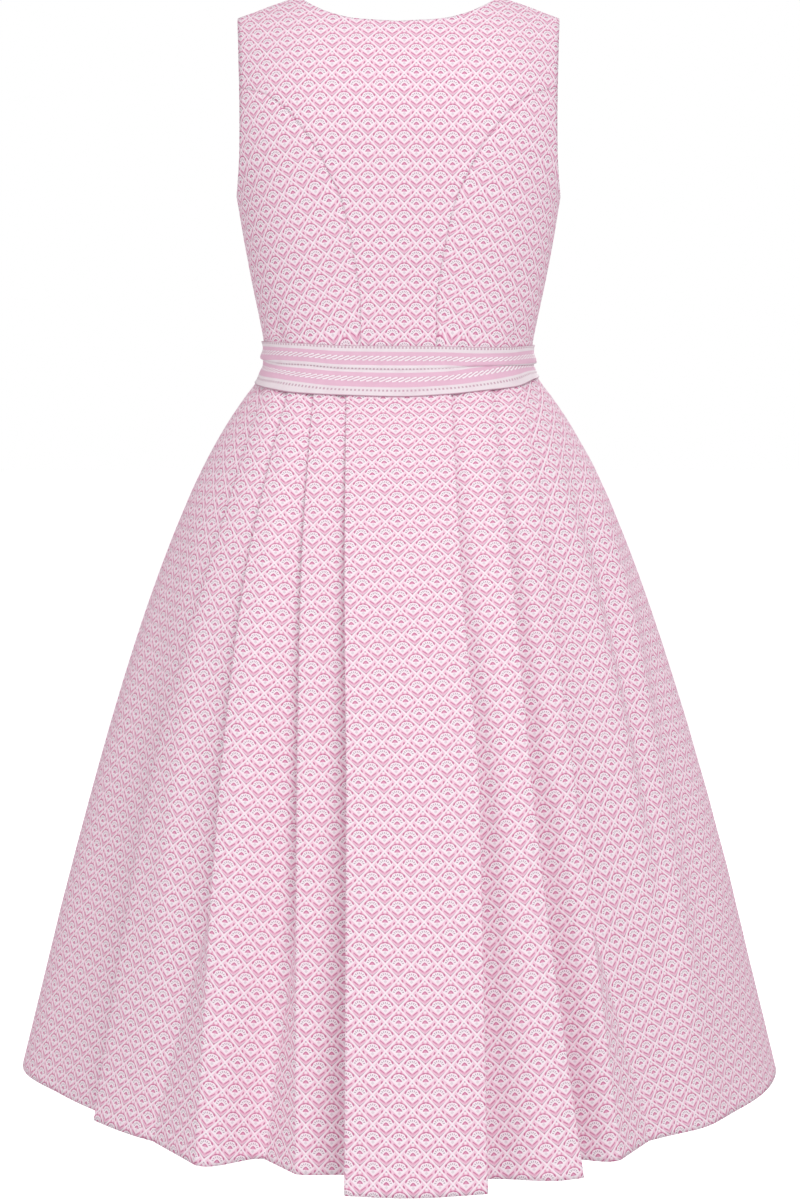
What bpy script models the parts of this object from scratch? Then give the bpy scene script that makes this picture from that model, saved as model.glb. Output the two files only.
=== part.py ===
"""Sleeveless midi dirndl in its hollow worn form, seen from behind along +Y.

Metres, +Z up. The origin lies between the shoulder seams at the neck, where
the wearer's shoulders carry the dress. The back faces -Y and the front +Y.
Every cloth piece is a wall through sections that are worked out from the
tables below, whose lengths are millimetres and whose angles are degrees.
"""
import math
from collections import namedtuple

import bmesh
import bpy
from mathutils import Vector

MM = 0.001

# Cloth and seams
CLOTH = 1.2 * MM
SLOPE_STEP = 2.0
SEAM_GAP = 0.3 * MM
BUST_SEAM_GAP = 0.8 * MM
SASH_GAP = 0.8 * MM

# Heights of the main lines, below the neck points of the shoulder seams
WAIST_Z = -358.0
HIP_Z = -556.0
KNEE_Z = -750.0
HEM_Z = -1064.0

# Shoulders: a soft line that falls from the neck points to the tips
NECK_POINT_X = 102.0
SHOULDER_TIP_X = 157.2
SHOULDER_FALL = 0.38
SHOULDER_BEND_X = 84.0
SHOULDER_BEND = 30.0
SHOULDER_DEPTH = 150.0
SHOULDER_EDGE = 0.6

# Torso sections: half an ellipse each way, filled out a little at its corners
Level = namedtuple("Level", "z half_width back front")
TORSO = (
    Level(-358, 131.5, 84.0, 92.0),
    Level(-335, 132.8, 85.0, 95.4),
    Level(-315, 136.4, 87.0, 100.0),
    Level(-280, 143.8, 91.0, 109.0),
    Level(-240, 151.6, 97.0, 117.0),
    Level(-196, 159.0, 102.0, 119.0),
    Level(-160, 165.5, 105.0, 114.0),
    Level(-120, 168.0, 106.0, 105.0),
    Level(-60, 168.0, 104.0, 97.0),
    Level(12, 168.0, 100.0, 92.0),
)
CORNER_FILL = 0.25
SEAM_ROWS = (0.0, 0.08, 0.17, 0.32, 0.5, 0.7, 0.86, 1.0)
SHOULDER_ROWS = (0.3, 0.55, 0.75, 0.88, 0.96, 1.0)
CENTRE_COLUMNS = 13
SIDE_COLUMNS = 7
SEAM_SHARE = 0.62
NECKLINE_SHARE = 2 / 3
NECKLINE_LENGTH = 204.0
SHARE_STEP = 0.01
BUST_X = 76.0
BUST_Z = -196.0
BUST_SPREAD = 46.0
BUST_RISE = 15.0

# Skirt sections: ellipses whose flare follows the outline of the skirt
Flare = namedtuple("Flare", "z half_width")
SKIRT = (
    Flare(-358, 131.5),
    Flare(-372, 139.8),
    Flare(-390, 153.4),
    Flare(-415, 170.3),
    Flare(-455, 192.8),
    Flare(-530, 226.8),
    Flare(-650, 269.8),
    Flare(-830, 322.8),
    Flare(-1064, 383.0),
)
HEM_DEPTH = 345.0
SKIRT_TOP_Z = -359.3
OPENING_Z = -388

# Seam lines and edges of the bodice, in the plane seen from the front
Edge = namedtuple("Edge", "x z")
BACK_PRINCESS = (
    Edge(36, -358), Edge(36, -335), Edge(36, -301), Edge(40, -268), Edge(46, -235),
    Edge(54, -203), Edge(65, -179), Edge(77, -156), Edge(91, -136), Edge(107, -117),
    Edge(128, -101), Edge(153, -92),
)
BACK_ARMHOLE = (
    Edge(153, -92), Edge(154, -70), Edge(155.2, -45), Edge(SHOULDER_TIP_X, -19.4),
)
BACK_UNDERARM = (
    Edge(153, -92), Edge(152.4, -120), Edge(152.8, -150), Edge(155, -176),
    Edge(159, -196),
)
BACK_NECKLINE = (
    Edge(0, -33), Edge(40, -30), Edge(65, -23), Edge(82, -14), Edge(94, -5), Edge(102, 0),
)
FRONT_PRINCESS = (
    Edge(44, -358), Edge(49, -330), Edge(59, -280), Edge(71, -235), Edge(84, -196),
    Edge(100, -160), Edge(119, -135), Edge(140, -118),
)
FRONT_ARMHOLE = (
    Edge(140, -118), Edge(138, -90), Edge(142, -60), Edge(150, -38), Edge(SHOULDER_TIP_X, -19.4),
)
FRONT_UNDERARM = (
    Edge(140, -118), Edge(143, -145), Edge(150, -172), Edge(159, -196),
)
FRONT_NECKLINE = (
    Edge(0, -150), Edge(42, -143), Edge(72, -118), Edge(88, -80), Edge(96, -38), Edge(102, 0),
)
SHOULDER_SEAM = (Edge(NECK_POINT_X, 0), Edge(130, -9), Edge(SHOULDER_TIP_X, -19.4))

# Centre-front closing: the wearer's right front laps over the left one
LAP_HALF = 9.0
LAP_RAMP = 8.0
LAP_GAP = 0.8 * MM
LAP_COLUMNS = (-9.0, -3.0, 3.0, 11.0, 19.0)
NECKLINE_COLUMNS = 6
SHOULDER_COLUMNS = 2
BUTTON_COUNT = 6
BUTTON_RADIUS = 6.0 * MM
BUTTON_THICK = 2.6 * MM
BUTTON_SIDES = 12
BUTTON_GAP = 0.6 * MM
BUTTON_TOP_Z = -162.0
BUTTON_STEP = 31.5

# Pleats: where each edge runs, which side lies on top (+1 the side toward +X),
# how far it stands out at the hem, the step down to the cloth beneath it, how
# far that cloth runs back under it, and how round the edge is at the hem
Pleat = namedtuple(
    "Pleat",
    "name over x_waist x_hip x_knee x_hem out_hem step_hem lap_waist lap_knee lap_hem round_hem",
)
BACK_PLEATS = (
    Pleat("side_left", 1, -122, -184, -233, -284, -28, 12, 16, 9, 7, 3),
    Pleat("outer_left", 1, -100, -143, -163, -180, 5, 32, 12, 5, -66, 8),
    Pleat("inner_left", 1, -79, -90, -92, -92, -2, 29, 12, 6, -34, 7),
    Pleat("centre_left", 1, -49.5, -47.5, -43.5, -41.5, 42, 50, 16, 13, 12, 5),
    Pleat("centre_right", -1, 49, 56, 68, 69.5, 42, 35, 16, 13, 12, 5),
    Pleat("inner_right", -1, 86, 103, 117, 152, 27, 48, 16, 13, 10, 6),
    Pleat("outer_right", -1, 117, 139, 162, 199, 2, 27, 14, 6, -50, 7),
)
FRONT_PLEATS = (
    Pleat("outer_left", 1, -116, -150, -184, -232, 2, 30, 14, 7, -44, 7),
    Pleat("inner_left", 1, -86, -104, -122, -150, 20, 38, 14, 10, 4, 6),
    Pleat("centre_left", 1, -50, -52, -54, -58, 36, 38, 14, 13, 12, 6),
    Pleat("centre_right", -1, 50, 52, 54, 58, 36, 38, 14, 13, 12, 6),
    Pleat("inner_right", -1, 86, 104, 122, 150, 20, 38, 14, 10, 4, 6),
    Pleat("outer_right", -1, 116, 150, 184, 232, 2, 30, 14, 7, -44, 7),
)
PLEAT_ROUND = 1.3
OUT_POWER = 1.3
STEP_POWER = 1.5
TURN_POINTS = 3
PANEL_POINTS = 3
SIDE_PANEL_POINTS = 7

# Soft waves of the cloth between the pleats
Wave = namedtuple("Wave", "degrees spread height")
BACK_WAVES = (Wave(1.5, 6, 5), Wave(51, 6, 6), Wave(-72, 8, -5))
FRONT_WAVES = (Wave(0, 7, 5), Wave(56, 7, -7), Wave(-56, 7, -7))

# Sash: one ribbon once round the waist, narrower where it creases at the sides
Band = namedtuple("Band", "degrees top bottom")
SASH = (
    Band(-180, -340, -389),
    Band(-130, -338, -386),
    Band(-90, -333, -373),
    Band(-50, -335, -383),
    Band(0, -339, -388),
    Band(50, -338, -380),
    Band(90, -336, -367),
    Band(130, -338, -385),
    Band(180, -340, -389),
)
SASH_SEGMENTS = 60
SASH_ROWS = 4
KNOT = (34 * MM, 16 * MM, 48 * MM)
KNOT_ROUND = 7 * MM
KNOT_SINK = 2.4 * MM
Tail = namedtuple("Tail", "z inner outer")
TAILS = (
    Tail(-394, 1.5, 15),
    Tail(-415, 3, 25),
    Tail(-455, 4, 36),
    Tail(-530, 5, 44),
    Tail(-650, 6, 48),
    Tail(-830, 7, 50),
)
TAIL_END_LEFT = -640.0
TAIL_END_RIGHT = -690.0

# Finishes
PRINT_PINK = (0.80, 0.56, 0.66, 1.0)
RIBBON_PINK = (0.78, 0.55, 0.68, 1.0)
BUTTON_PINK = (0.72, 0.47, 0.58, 1.0)


def ease(t):
    """Smooth step from 0 to 1."""
    t = min(max(t, 0.0), 1.0)
    return t * t * (3 - 2 * t)


def along(keys, values, key):
    """Smooth value at a key, with no overshoot between the given ones."""
    if keys[0] > keys[-1]:
        keys = keys[::-1]
        values = values[::-1]
    if key <= keys[0]:
        return values[0]
    if key >= keys[-1]:
        return values[-1]
    slopes = []
    for i in range(len(keys) - 1):
        slopes.append((values[i + 1] - values[i]) / (keys[i + 1] - keys[i]))
    tangents = [slopes[0]]
    for before, after in zip(slopes, slopes[1:]):
        same_way = before * after > 0
        tangents.append(2 * before * after / (before + after) if same_way else 0.0)
    tangents.append(slopes[-1])
    i = max(n for n in range(len(keys) - 1) if keys[n] <= key)
    span = keys[i + 1] - keys[i]
    t = (key - keys[i]) / span
    rise = values[i] * (1 + 2 * t) * (1 - t) ** 2 + values[i + 1] * t * t * (3 - 2 * t)
    return rise + span * (tangents[i] * t * (1 - t) ** 2 - tangents[i + 1] * t * t * (1 - t))


def column(table, name):
    """All values of one column of a table."""
    return [getattr(row, name) for row in table]


def lookup(table, key, name):
    """Smooth value of a table's column at a key of its first column."""
    return along(column(table, table[0]._fields[0]), column(table, name), key)


def half_ellipse(side, degrees, half_width, depth, fill):
    """Point, outward direction and length for each degree; side is -1 behind, 1 in front."""
    angle = math.radians(degrees)
    sine, cosine = math.sin(angle), math.cos(angle)
    x = half_width * sine
    y = depth * cosine * (1 + fill * sine * sine)
    dx = half_width * cosine
    dy = -depth * sine * (1 + fill * sine * sine) + 2 * fill * depth * sine * cosine * cosine
    length = math.hypot(dx, dy)
    return x, side * y, -dy / length, side * dx / length, math.radians(length)


def shoulder_line(x):
    """Height of the shoulder line, zero at the neck points."""
    def fall(reach):
        inward = reach - SHOULDER_BEND_X
        return SHOULDER_FALL / 2 * (inward + math.hypot(inward, SHOULDER_BEND))
    return fall(NECK_POINT_X) - fall(abs(x))


def torso(side, x, z, inset=0.0):
    """Middle of the bodice cloth at a width and a height."""
    half_width = lookup(TORSO, z, "half_width")
    depth = lookup(TORSO, z, "back" if side < 0 else "front")
    drop = max(shoulder_line(x) - z, 0.0)
    depth *= math.sqrt(1 - (1 - min(drop / SHOULDER_DEPTH, 1)) ** 2)
    sine = max(-1.0, min(1.0, x / half_width))
    cosine = math.sqrt(1 - sine * sine)
    y = depth * cosine * (1 + CORNER_FILL * sine * sine)
    if side > 0:
        for apex in (-BUST_X, BUST_X):
            reach = ((x - apex) / BUST_SPREAD) ** 2 + ((z - BUST_Z) / BUST_SPREAD) ** 2
            y += BUST_RISE * math.exp(-reach)
    return Vector((x, side * (y - inset), z)) * MM


def polyline(edges, share):
    """Point at a share of a smooth edge through the given ones."""
    steps = [0.0]
    for here, there in zip(edges, edges[1:]):
        steps.append(steps[-1] + math.hypot(there.x - here.x, there.z - here.z))
    at = share * steps[-1]
    return along(steps, column(edges, "x"), at), along(steps, column(edges, "z"), at)


def beside(edges, share, shift):
    """Point at a share of an edge, moved to its right-hand side."""
    x, z = polyline(edges, share)
    before = polyline(edges, max(share - SHARE_STEP, 0.0))
    after = polyline(edges, min(share + SHARE_STEP, 1.0))
    dx, dz = after[0] - before[0], after[1] - before[1]
    length = math.hypot(dx, dz)
    return x + shift * dz / length, z - shift * dx / length


def joined(first, second, share, split, shift=0.0):
    """One boundary from two edges that meet at a corner."""
    if share <= split:
        return beside(first, share / split, shift)
    return polyline(second, (share - split) / (1 - split))


def centre_rows():
    """Shares of a centre panel's side: the seam's rows, then the armhole's."""
    seam = [SEAM_SHARE * share for share in SEAM_ROWS]
    return seam + [SEAM_SHARE + (1 - SEAM_SHARE) * share for share in SHOULDER_ROWS]


def patch(bottom, top, left, right, u, v):
    """Blend of four boundary curves that meet at their ends."""
    out = []
    for i in (0, 1):
        across = (1 - v) * bottom(u)[i] + v * top(u)[i]
        up = (1 - u) * left(v)[i] + u * right(v)[i]
        corners = (1 - u) * (1 - v) * bottom(0)[i] + u * (1 - v) * bottom(1)[i]
        corners += (1 - u) * v * top(0)[i] + u * v * top(1)[i]
        out.append(across + up - corners)
    return out


def to_angle(x, z):
    """Width as the angle of the section, so that a side seam is 90 degrees."""
    return math.degrees(math.asin(min(x / lookup(TORSO, z, "half_width"), 1.0)))


def from_angle(degrees, z):
    """Width at an angle of the section."""
    return math.sin(math.radians(degrees)) * lookup(TORSO, z, "half_width")


def material(name, colour, roughness):
    """Plain finish of one kind of piece."""
    found = bpy.data.materials.new(name)
    found.use_nodes = True
    shader = found.node_tree.nodes["Principled BSDF"]
    shader.inputs["Base Color"].default_value = colour
    shader.inputs["Roughness"].default_value = roughness
    shader.inputs["Metallic"].default_value = 0.0
    return found


def place(name, mesh, colour, roughness):
    """Object of one sub-part in the dirndl's collection."""
    mesh.materials.append(material(name, colour, roughness))
    mesh.shade_smooth()
    thing = bpy.data.objects.new(name, mesh)
    bpy.data.collections["dirndl"].objects.link(thing)
    return thing


def cloth_wall(name, grid, colour, closed=False, roughness=0.85, folded=False):
    """Even wall about the middle surface that a grid of points gives."""
    rows, columns = len(grid), len(grid[0])
    mesh = bpy.data.meshes.new(name)
    faces = []
    for row in range(rows - 1):
        for col in range(columns if closed else columns - 1):
            after = (col + 1) % columns
            low, high = row * columns, (row + 1) * columns
            faces.append((low + col, low + after, high + after, high + col))
    mesh.from_pydata([point for row in grid for point in row], [], faces)
    wall = place(name, mesh, colour, roughness)
    solidify = wall.modifiers.new("Cloth", "SOLIDIFY")
    solidify.thickness = CLOTH
    solidify.offset = 0.0
    solidify.use_even_offset = folded
    return wall


def stations(count, start=0.0, end=1.0):
    """Even steps from one value to another."""
    return [start + (end - start) * n / (count - 1) for n in range(count)]


def close_shoulder(row, side):
    """Bring the shoulder part of a top edge to the shoulder seam."""
    for point in row:
        if abs(point.x) > (NECK_POINT_X - 1) * MM:
            point.y = side * SHOULDER_EDGE * MM
            point.z = shoulder_line(point.x / MM) * MM


def make_back_centre():
    """Centre back: neckline, shoulders and armholes down to the princess seams."""
    half_gap = SEAM_GAP / MM / 2

    def side_edge(v):
        return joined(BACK_PRINCESS, BACK_ARMHOLE, v, SEAM_SHARE, -half_gap)

    def left(v):
        x, z = side_edge(v)
        return -x, z

    def bottom(u):
        return (2 * u - 1) * side_edge(0)[0], WAIST_Z

    def top(u):
        reach = abs(2 * u - 1)
        x, z = joined(BACK_NECKLINE, SHOULDER_SEAM, reach, NECKLINE_SHARE)
        return math.copysign(min(x, side_edge(1)[0]), u - 0.5), z

    grid = []
    for v in centre_rows():
        row = []
        for u in stations(CENTRE_COLUMNS):
            x, z = patch(bottom, top, left, side_edge, u, v)
            row.append(torso(-1, x, z))
        grid.append(row)
    close_shoulder(grid[-1], -1)
    cloth_wall("back_centre", grid, PRINT_PINK)


def make_side(name, face, sign, princess, underarm):
    """Side panel between a princess seam, the armhole and the side seam."""
    half_gap = (SEAM_GAP if face < 0 else BUST_SEAM_GAP) / MM / 2
    armpit = underarm[-1].z

    def in_angle(point):
        x, z = point
        return to_angle(x, z), z

    def seam(v):
        return in_angle(beside(princess, v, half_gap))

    def side(v):
        z = WAIST_Z + v * (armpit - WAIST_Z)
        trim = math.degrees(SEAM_GAP / MM / 2 / lookup(TORSO, z, "back" if face < 0 else "front"))
        return 90.0 - trim, z

    def bottom(u):
        start, end = seam(0)[0], side(0)[0]
        return start + (end - start) * u, WAIST_Z

    def top(u):
        degrees, z = in_angle(polyline(underarm, u))
        start, end = seam(1)[0], side(1)[0]
        fix_start = start - in_angle(polyline(underarm, 0))[0]
        fix_end = end - in_angle(polyline(underarm, 1))[0]
        return degrees + fix_start * (1 - u) + fix_end * u, z

    grid = []
    for v in SEAM_ROWS:
        row = []
        for u in stations(SIDE_COLUMNS):
            degrees, z = patch(bottom, top, seam, side, u, v)
            row.append(torso(face, sign * from_angle(degrees, z), z))
        grid.append(row if sign * face < 0 else row[::-1])
    cloth_wall(name, grid, PRINT_PINK)


def make_front(name, sign):
    """Centre front with its half of the closing."""
    half_gap = BUST_SEAM_GAP / MM / 2
    beneath = (CLOTH + LAP_GAP) / MM if sign < 0 else 0.0

    def right(v):
        return joined(FRONT_PRINCESS, FRONT_ARMHOLE, v, SEAM_SHARE, -half_gap)

    def left(v):
        return -LAP_HALF, WAIST_Z + v * (FRONT_NECKLINE[0].z - WAIST_Z)

    def bottom(u):
        return -LAP_HALF + (right(0)[0] + LAP_HALF) * u, WAIST_Z

    near_share = LAP_COLUMNS[-1] / NECKLINE_LENGTH * NECKLINE_SHARE

    def top(u):
        x = u * (right(1)[0] + LAP_HALF) - LAP_HALF
        near_u = (LAP_COLUMNS[-1] + LAP_HALF) / (right(1)[0] + LAP_HALF)
        if u <= near_u:
            share = max(x, 0.0) / LAP_COLUMNS[-1] * near_share
            return x, joined(FRONT_NECKLINE, SHOULDER_SEAM, share, NECKLINE_SHARE)[1]
        share = near_share + (u - near_u) / (1 - near_u) * (1 - near_share)
        return joined(FRONT_NECKLINE, SHOULDER_SEAM, share, NECKLINE_SHARE)

    neck = (NECKLINE_SHARE - near_share) / (1 - near_share)
    spread = stations(NECKLINE_COLUMNS + 1, 0.0, neck)[1:]
    spread += stations(SHOULDER_COLUMNS + 1, neck)[1:]
    grid = []
    for v in centre_rows():
        width = right(v)[0] + LAP_HALF
        near = [(x + LAP_HALF) / width for x in LAP_COLUMNS]
        row = []
        for u in near + [near[-1] + (1 - near[-1]) * part for part in spread]:
            x, z = patch(bottom, top, left, right, u, v)
            inset = beneath * ease((LAP_COLUMNS[-1] - x) / LAP_RAMP)
            row.append(torso(1, sign * x, z, inset))
        grid.append(row if sign < 0 else row[::-1])
    close_shoulder(grid[-1], 1)
    cloth_wall(name, grid, PRINT_PINK)


def make_buttons():
    """Turned buttons on the right front, along the centre line."""
    for number in range(BUTTON_COUNT):
        height = BUTTON_TOP_Z - number * BUTTON_STEP
        seat = torso(1, 0.0, height)
        slope = torso(1, 0.0, height + SLOPE_STEP) - torso(1, 0.0, height - SLOPE_STEP)
        outward = Vector((0.0, slope.z, -slope.y)).normalized()
        mesh = bpy.data.meshes.new("button")
        shape = bmesh.new()
        bmesh.ops.create_cone(
            shape, cap_ends=True, segments=BUTTON_SIDES, radius1=BUTTON_RADIUS,
            radius2=BUTTON_RADIUS, depth=BUTTON_THICK,
        )
        shape.to_mesh(mesh)
        shape.free()
        button = place("button_%d" % (number + 1), mesh, BUTTON_PINK, 0.4)
        button.location = seat + outward * (CLOTH / 2 + BUTTON_GAP + BUTTON_THICK / 2)
        button.rotation_euler = outward.to_track_quat("Z", "Y").to_euler()
        bevel = button.modifiers.new("Rim", "BEVEL")
        bevel.width = BUTTON_THICK / 4
        bevel.segments = 1
        bevel.limit_method = "ANGLE"


def flare(z):
    """Share of the skirt's flare reached at a height."""
    widths = lookup(SKIRT, z, "half_width")
    return (widths - SKIRT[0].half_width) / (SKIRT[-1].half_width - SKIRT[0].half_width)


def opening(z):
    """Share of the pleats' opening, which starts below the sash."""
    start = flare(OPENING_Z)
    return max((flare(z) - start) / (1 - start), 0.0)


def skirt_base(side, degrees, z):
    """Section of the skirt before its pleats."""
    share = flare(z)
    waist_depth = lookup(TORSO, WAIST_Z, "back" if side < 0 else "front")
    depth = waist_depth + (HEM_DEPTH - waist_depth) * share
    half_width = lookup(SKIRT, z, "half_width")
    return half_ellipse(side, degrees, half_width, depth, CORNER_FILL * (1 - share))


def skirt_point(side, degrees, z, out):
    """Point of the skirt at a distance out from its section."""
    x, y, out_x, out_y, _ = skirt_base(side, degrees, z)
    return Vector((x + out * out_x, y + out * out_y, z)) * MM


def wave_height(waves, degrees, z):
    """Height of the soft waves at a point of the skirt."""
    total = 0.0
    for wave in waves:
        total += wave.height * math.exp(-(((degrees - wave.degrees) / wave.spread) ** 2))
    return total * opening(z)


def pleat_turns(pleat, side, z):
    """Pleat edge at a height: its two turns, and where the flat cloth begins.

    The first turn is at the edge, from the cloth on top, and the second one is
    where the cloth beneath comes forward again. Both are arcs of one radius,
    joined by their common tangent.
    """
    share = opening(z)
    x = along(
        [WAIST_Z, HIP_Z, KNEE_Z, HEM_Z],
        [pleat.x_waist, pleat.x_hip, pleat.x_knee, pleat.x_hem],
        z,
    )
    lap = along([WAIST_Z, KNEE_Z, HEM_Z], [pleat.lap_waist, pleat.lap_knee, pleat.lap_hem], z)
    flat_step = 4 * PLEAT_ROUND
    step = flat_step + (pleat.step_hem - flat_step) * share ** STEP_POWER
    radius = min(PLEAT_ROUND + (pleat.round_hem - PLEAT_ROUND) * share, step / 4)
    out = pleat.out_hem * share ** OUT_POWER
    edge = math.degrees(math.asin(x / lookup(SKIRT, z, "half_width")))
    per_degree = skirt_base(side, edge, z)[4]

    reach_x, reach_h = 2 * radius - lap, 2 * radius - step
    apart = math.hypot(reach_x, reach_h)
    facing = math.atan2(reach_x, reach_h) % (2 * math.pi)
    turn = facing - math.acos(min(2 * radius / apart, 1.0))
    points = []
    for n in range(TURN_POINTS):
        angle = math.pi / 2 - turn * n / (TURN_POINTS - 1)
        points.append((-radius + radius * math.cos(angle), -radius + radius * math.sin(angle)))
    for n in range(TURN_POINTS):
        angle = 3 * math.pi / 2 - turn + turn * n / (TURN_POINTS - 1)
        points.append(
            (radius - lap + radius * math.cos(angle), radius - step + radius * math.sin(angle))
        )
    turns = [(edge - pleat.over * along_x / per_degree, out + up) for along_x, up in points]
    top_free = edge + pleat.over * (max(lap, 0.0) + 2 * radius) / per_degree
    under_free = edge - pleat.over * (max(-lap, 0.0) + 2 * radius) / per_degree
    if pleat.over > 0:
        return turns[::-1], under_free, top_free
    return turns, top_free, under_free


def skirt_section(side, pleats, waves, z):
    """All points of one half of the skirt at a height, from left to right."""
    ends = 90.0 - SEAM_GAP / MM / 2 / skirt_base(side, 90.0, z)[4]
    section = []
    start, start_free, count = (-ends, 0.0), -ends, SIDE_PANEL_POINTS
    for pleat in pleats:
        turns, left_free, right_free = pleat_turns(pleat, side, z)
        section += panel_points(start, start_free, left_free, turns[0], count)
        section += turns
        start, start_free, count = turns[-1], right_free, PANEL_POINTS
    section += panel_points(start, start_free, ends, (ends, 0.0), SIDE_PANEL_POINTS)
    return [
        skirt_point(side, degrees, z, out + wave_height(waves, degrees, z))
        for degrees, out in section
    ]


def panel_points(start, start_free, end_free, end, count):
    """Cloth between two pleats, which rises or falls only where it is free."""
    if start_free > end_free:
        start_free = end_free = (start_free + end_free) / 2
    points = []
    for share in stations(count):
        degrees = start_free + (end_free - start_free) * share
        points.append((degrees, start[1] + (end[1] - start[1]) * ease(share)))
    return points


def make_skirt(name, side, pleats, waves):
    """Half of the skirt, from the waist seam to the hem."""
    grid = []
    for level in SKIRT[::-1]:
        row = skirt_section(side, pleats, waves, min(level.z, SKIRT_TOP_Z))
        grid.append(row if side < 0 else row[::-1])
    cloth_wall(name, grid, PRINT_PINK, folded=True)


def waist_surface(side, degrees, z, out):
    """Middle of the bodice or skirt cloth near the waist, moved out."""
    def middle(height):
        if height > WAIST_Z:
            half_width = lookup(TORSO, height, "half_width")
            depth = lookup(TORSO, height, "back" if side < 0 else "front")
            return half_ellipse(side, degrees, half_width, depth, CORNER_FILL)
        return skirt_base(side, degrees, height)

    x, y, out_x, out_y, _ = middle(z)
    above, below = middle(z + SLOPE_STEP), middle(z - SLOPE_STEP)
    fall = (below[0] - above[0]) * out_x + (below[1] - above[1]) * out_y
    slope = fall / (2 * SLOPE_STEP)
    length = math.hypot(1.0, slope)
    across, up = out / length, out * slope / length
    return Vector((x + across * out_x, y + across * out_y, z + up)) * MM


def sash_edges(degrees):
    """Top and bottom of the ribbon at an angle round the waist from the centre back."""
    return lookup(SASH, degrees, "top"), lookup(SASH, degrees, "bottom")


def make_sash():
    """Ribbon once round the waist, over the waist seam."""
    out = (CLOTH + SASH_GAP) / MM
    grid = []
    for row in stations(SASH_ROWS):
        ring = []
        for n in range(SASH_SEGMENTS):
            around = -180.0 + 360.0 * n / SASH_SEGMENTS
            top, bottom = sash_edges(around)
            side = -1 if abs(around) <= 90 else 1
            degrees = around if side < 0 else math.copysign(180 - abs(around), around)
            ring.append(waist_surface(side, degrees, bottom + (top - bottom) * row, out))
        grid.append(ring)
    cloth_wall("sash", grid, RIBBON_PINK, closed=True, roughness=0.55)


def make_knot():
    """Knot of the ribbon at the centre front, seated in the hollow of the waist."""
    mesh = bpy.data.meshes.new("knot")
    shape = bmesh.new()
    bmesh.ops.create_cube(shape, size=1.0)
    bmesh.ops.scale(shape, vec=KNOT, verts=shape.verts)
    shape.to_mesh(mesh)
    shape.free()
    knot = place("sash_knot", mesh, RIBBON_PINK, 0.55)
    top, bottom = sash_edges(180.0)
    face = (1.5 * CLOTH + SASH_GAP) / MM
    high = waist_surface(1, 0.0, top, face)
    low = waist_surface(1, 0.0, bottom, face)
    slope = (high - low).normalized()
    outward = Vector((0.0, slope.z, -slope.y))
    knot.location = (high + low) / 2 + outward * (SASH_GAP - KNOT_SINK + KNOT[1] / 2)
    knot.rotation_euler = (math.atan2(-slope.y, slope.z), 0.0, 0.0)
    bevel = knot.modifiers.new("Round", "BEVEL")
    bevel.width = KNOT_ROUND
    bevel.segments = 3


def front_panel(x, z, out):
    """Point of the centre-front panel on the straight line between two rows."""
    rows = [level.z for level in SKIRT]
    after = next(n for n in range(1, len(rows)) if rows[n] <= z)
    share = (rows[after - 1] - z) / (rows[after - 1] - rows[after])
    ends = []
    for row in rows[after - 1:after + 1]:
        degrees = math.degrees(math.asin(x / lookup(SKIRT, row, "half_width")))
        level = FRONT_PLEATS[2].out_hem * opening(row) ** OUT_POWER
        level += wave_height(FRONT_WAVES, degrees, row)
        ends.append(skirt_point(1, degrees, row, level + out))
    return ends[0].lerp(ends[1], share)


def make_tail(name, sign, end):
    """Tail of the ribbon on the centre-front panel, made from its points."""
    heights = [end] + [tail.z for tail in TAILS[::-1] if tail.z > end]
    grid = []
    for z in heights:
        inner, outer = lookup(TAILS, z, "inner"), lookup(TAILS, z, "outer")
        row = []
        for x in (inner, (inner + outer) / 2, outer):
            row.append(front_panel(sign * x, z, (CLOTH + SASH_GAP) / MM))
        grid.append(row if sign < 0 else row[::-1])
    cloth_wall(name, grid, RIBBON_PINK, roughness=0.55)


def clear_scene():
    """Empty scene to build in."""
    for thing in list(bpy.data.objects):
        bpy.data.objects.remove(thing, do_unlink=True)


def main():
    clear_scene()
    bpy.context.scene.collection.children.link(bpy.data.collections.new("dirndl"))
    make_back_centre()
    make_side("side_back_left", -1, -1, BACK_PRINCESS, BACK_UNDERARM)
    make_side("side_back_right", -1, 1, BACK_PRINCESS, BACK_UNDERARM)
    make_front("front_left", -1)
    make_front("front_right", 1)
    make_side("side_front_left", 1, -1, FRONT_PRINCESS, FRONT_UNDERARM)
    make_side("side_front_right", 1, 1, FRONT_PRINCESS, FRONT_UNDERARM)
    make_buttons()
    make_skirt("skirt_back", -1, BACK_PLEATS, BACK_WAVES)
    make_skirt("skirt_front", 1, FRONT_PLEATS, FRONT_WAVES)
    make_sash()
    make_knot()
    make_tail("sash_tail_left", -1, TAIL_END_LEFT)
    make_tail("sash_tail_right", 1, TAIL_END_RIGHT)


main()
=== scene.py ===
"""Finished surface of a sleeveless midi dirndl, seen from behind.

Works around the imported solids: fine printed cotton for the bodice and the
pleated skirt, a woven ribbon sash with its knot and tails, covered buttons,
and a plain studio. Tables are in millimetres and degrees, in the dirndl's own
frame: the back faces -Y, and z is counted from the neck points down.
"""
import math
from collections import namedtuple

import bmesh
import bpy
import numpy as np
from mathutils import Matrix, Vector, noise


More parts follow.
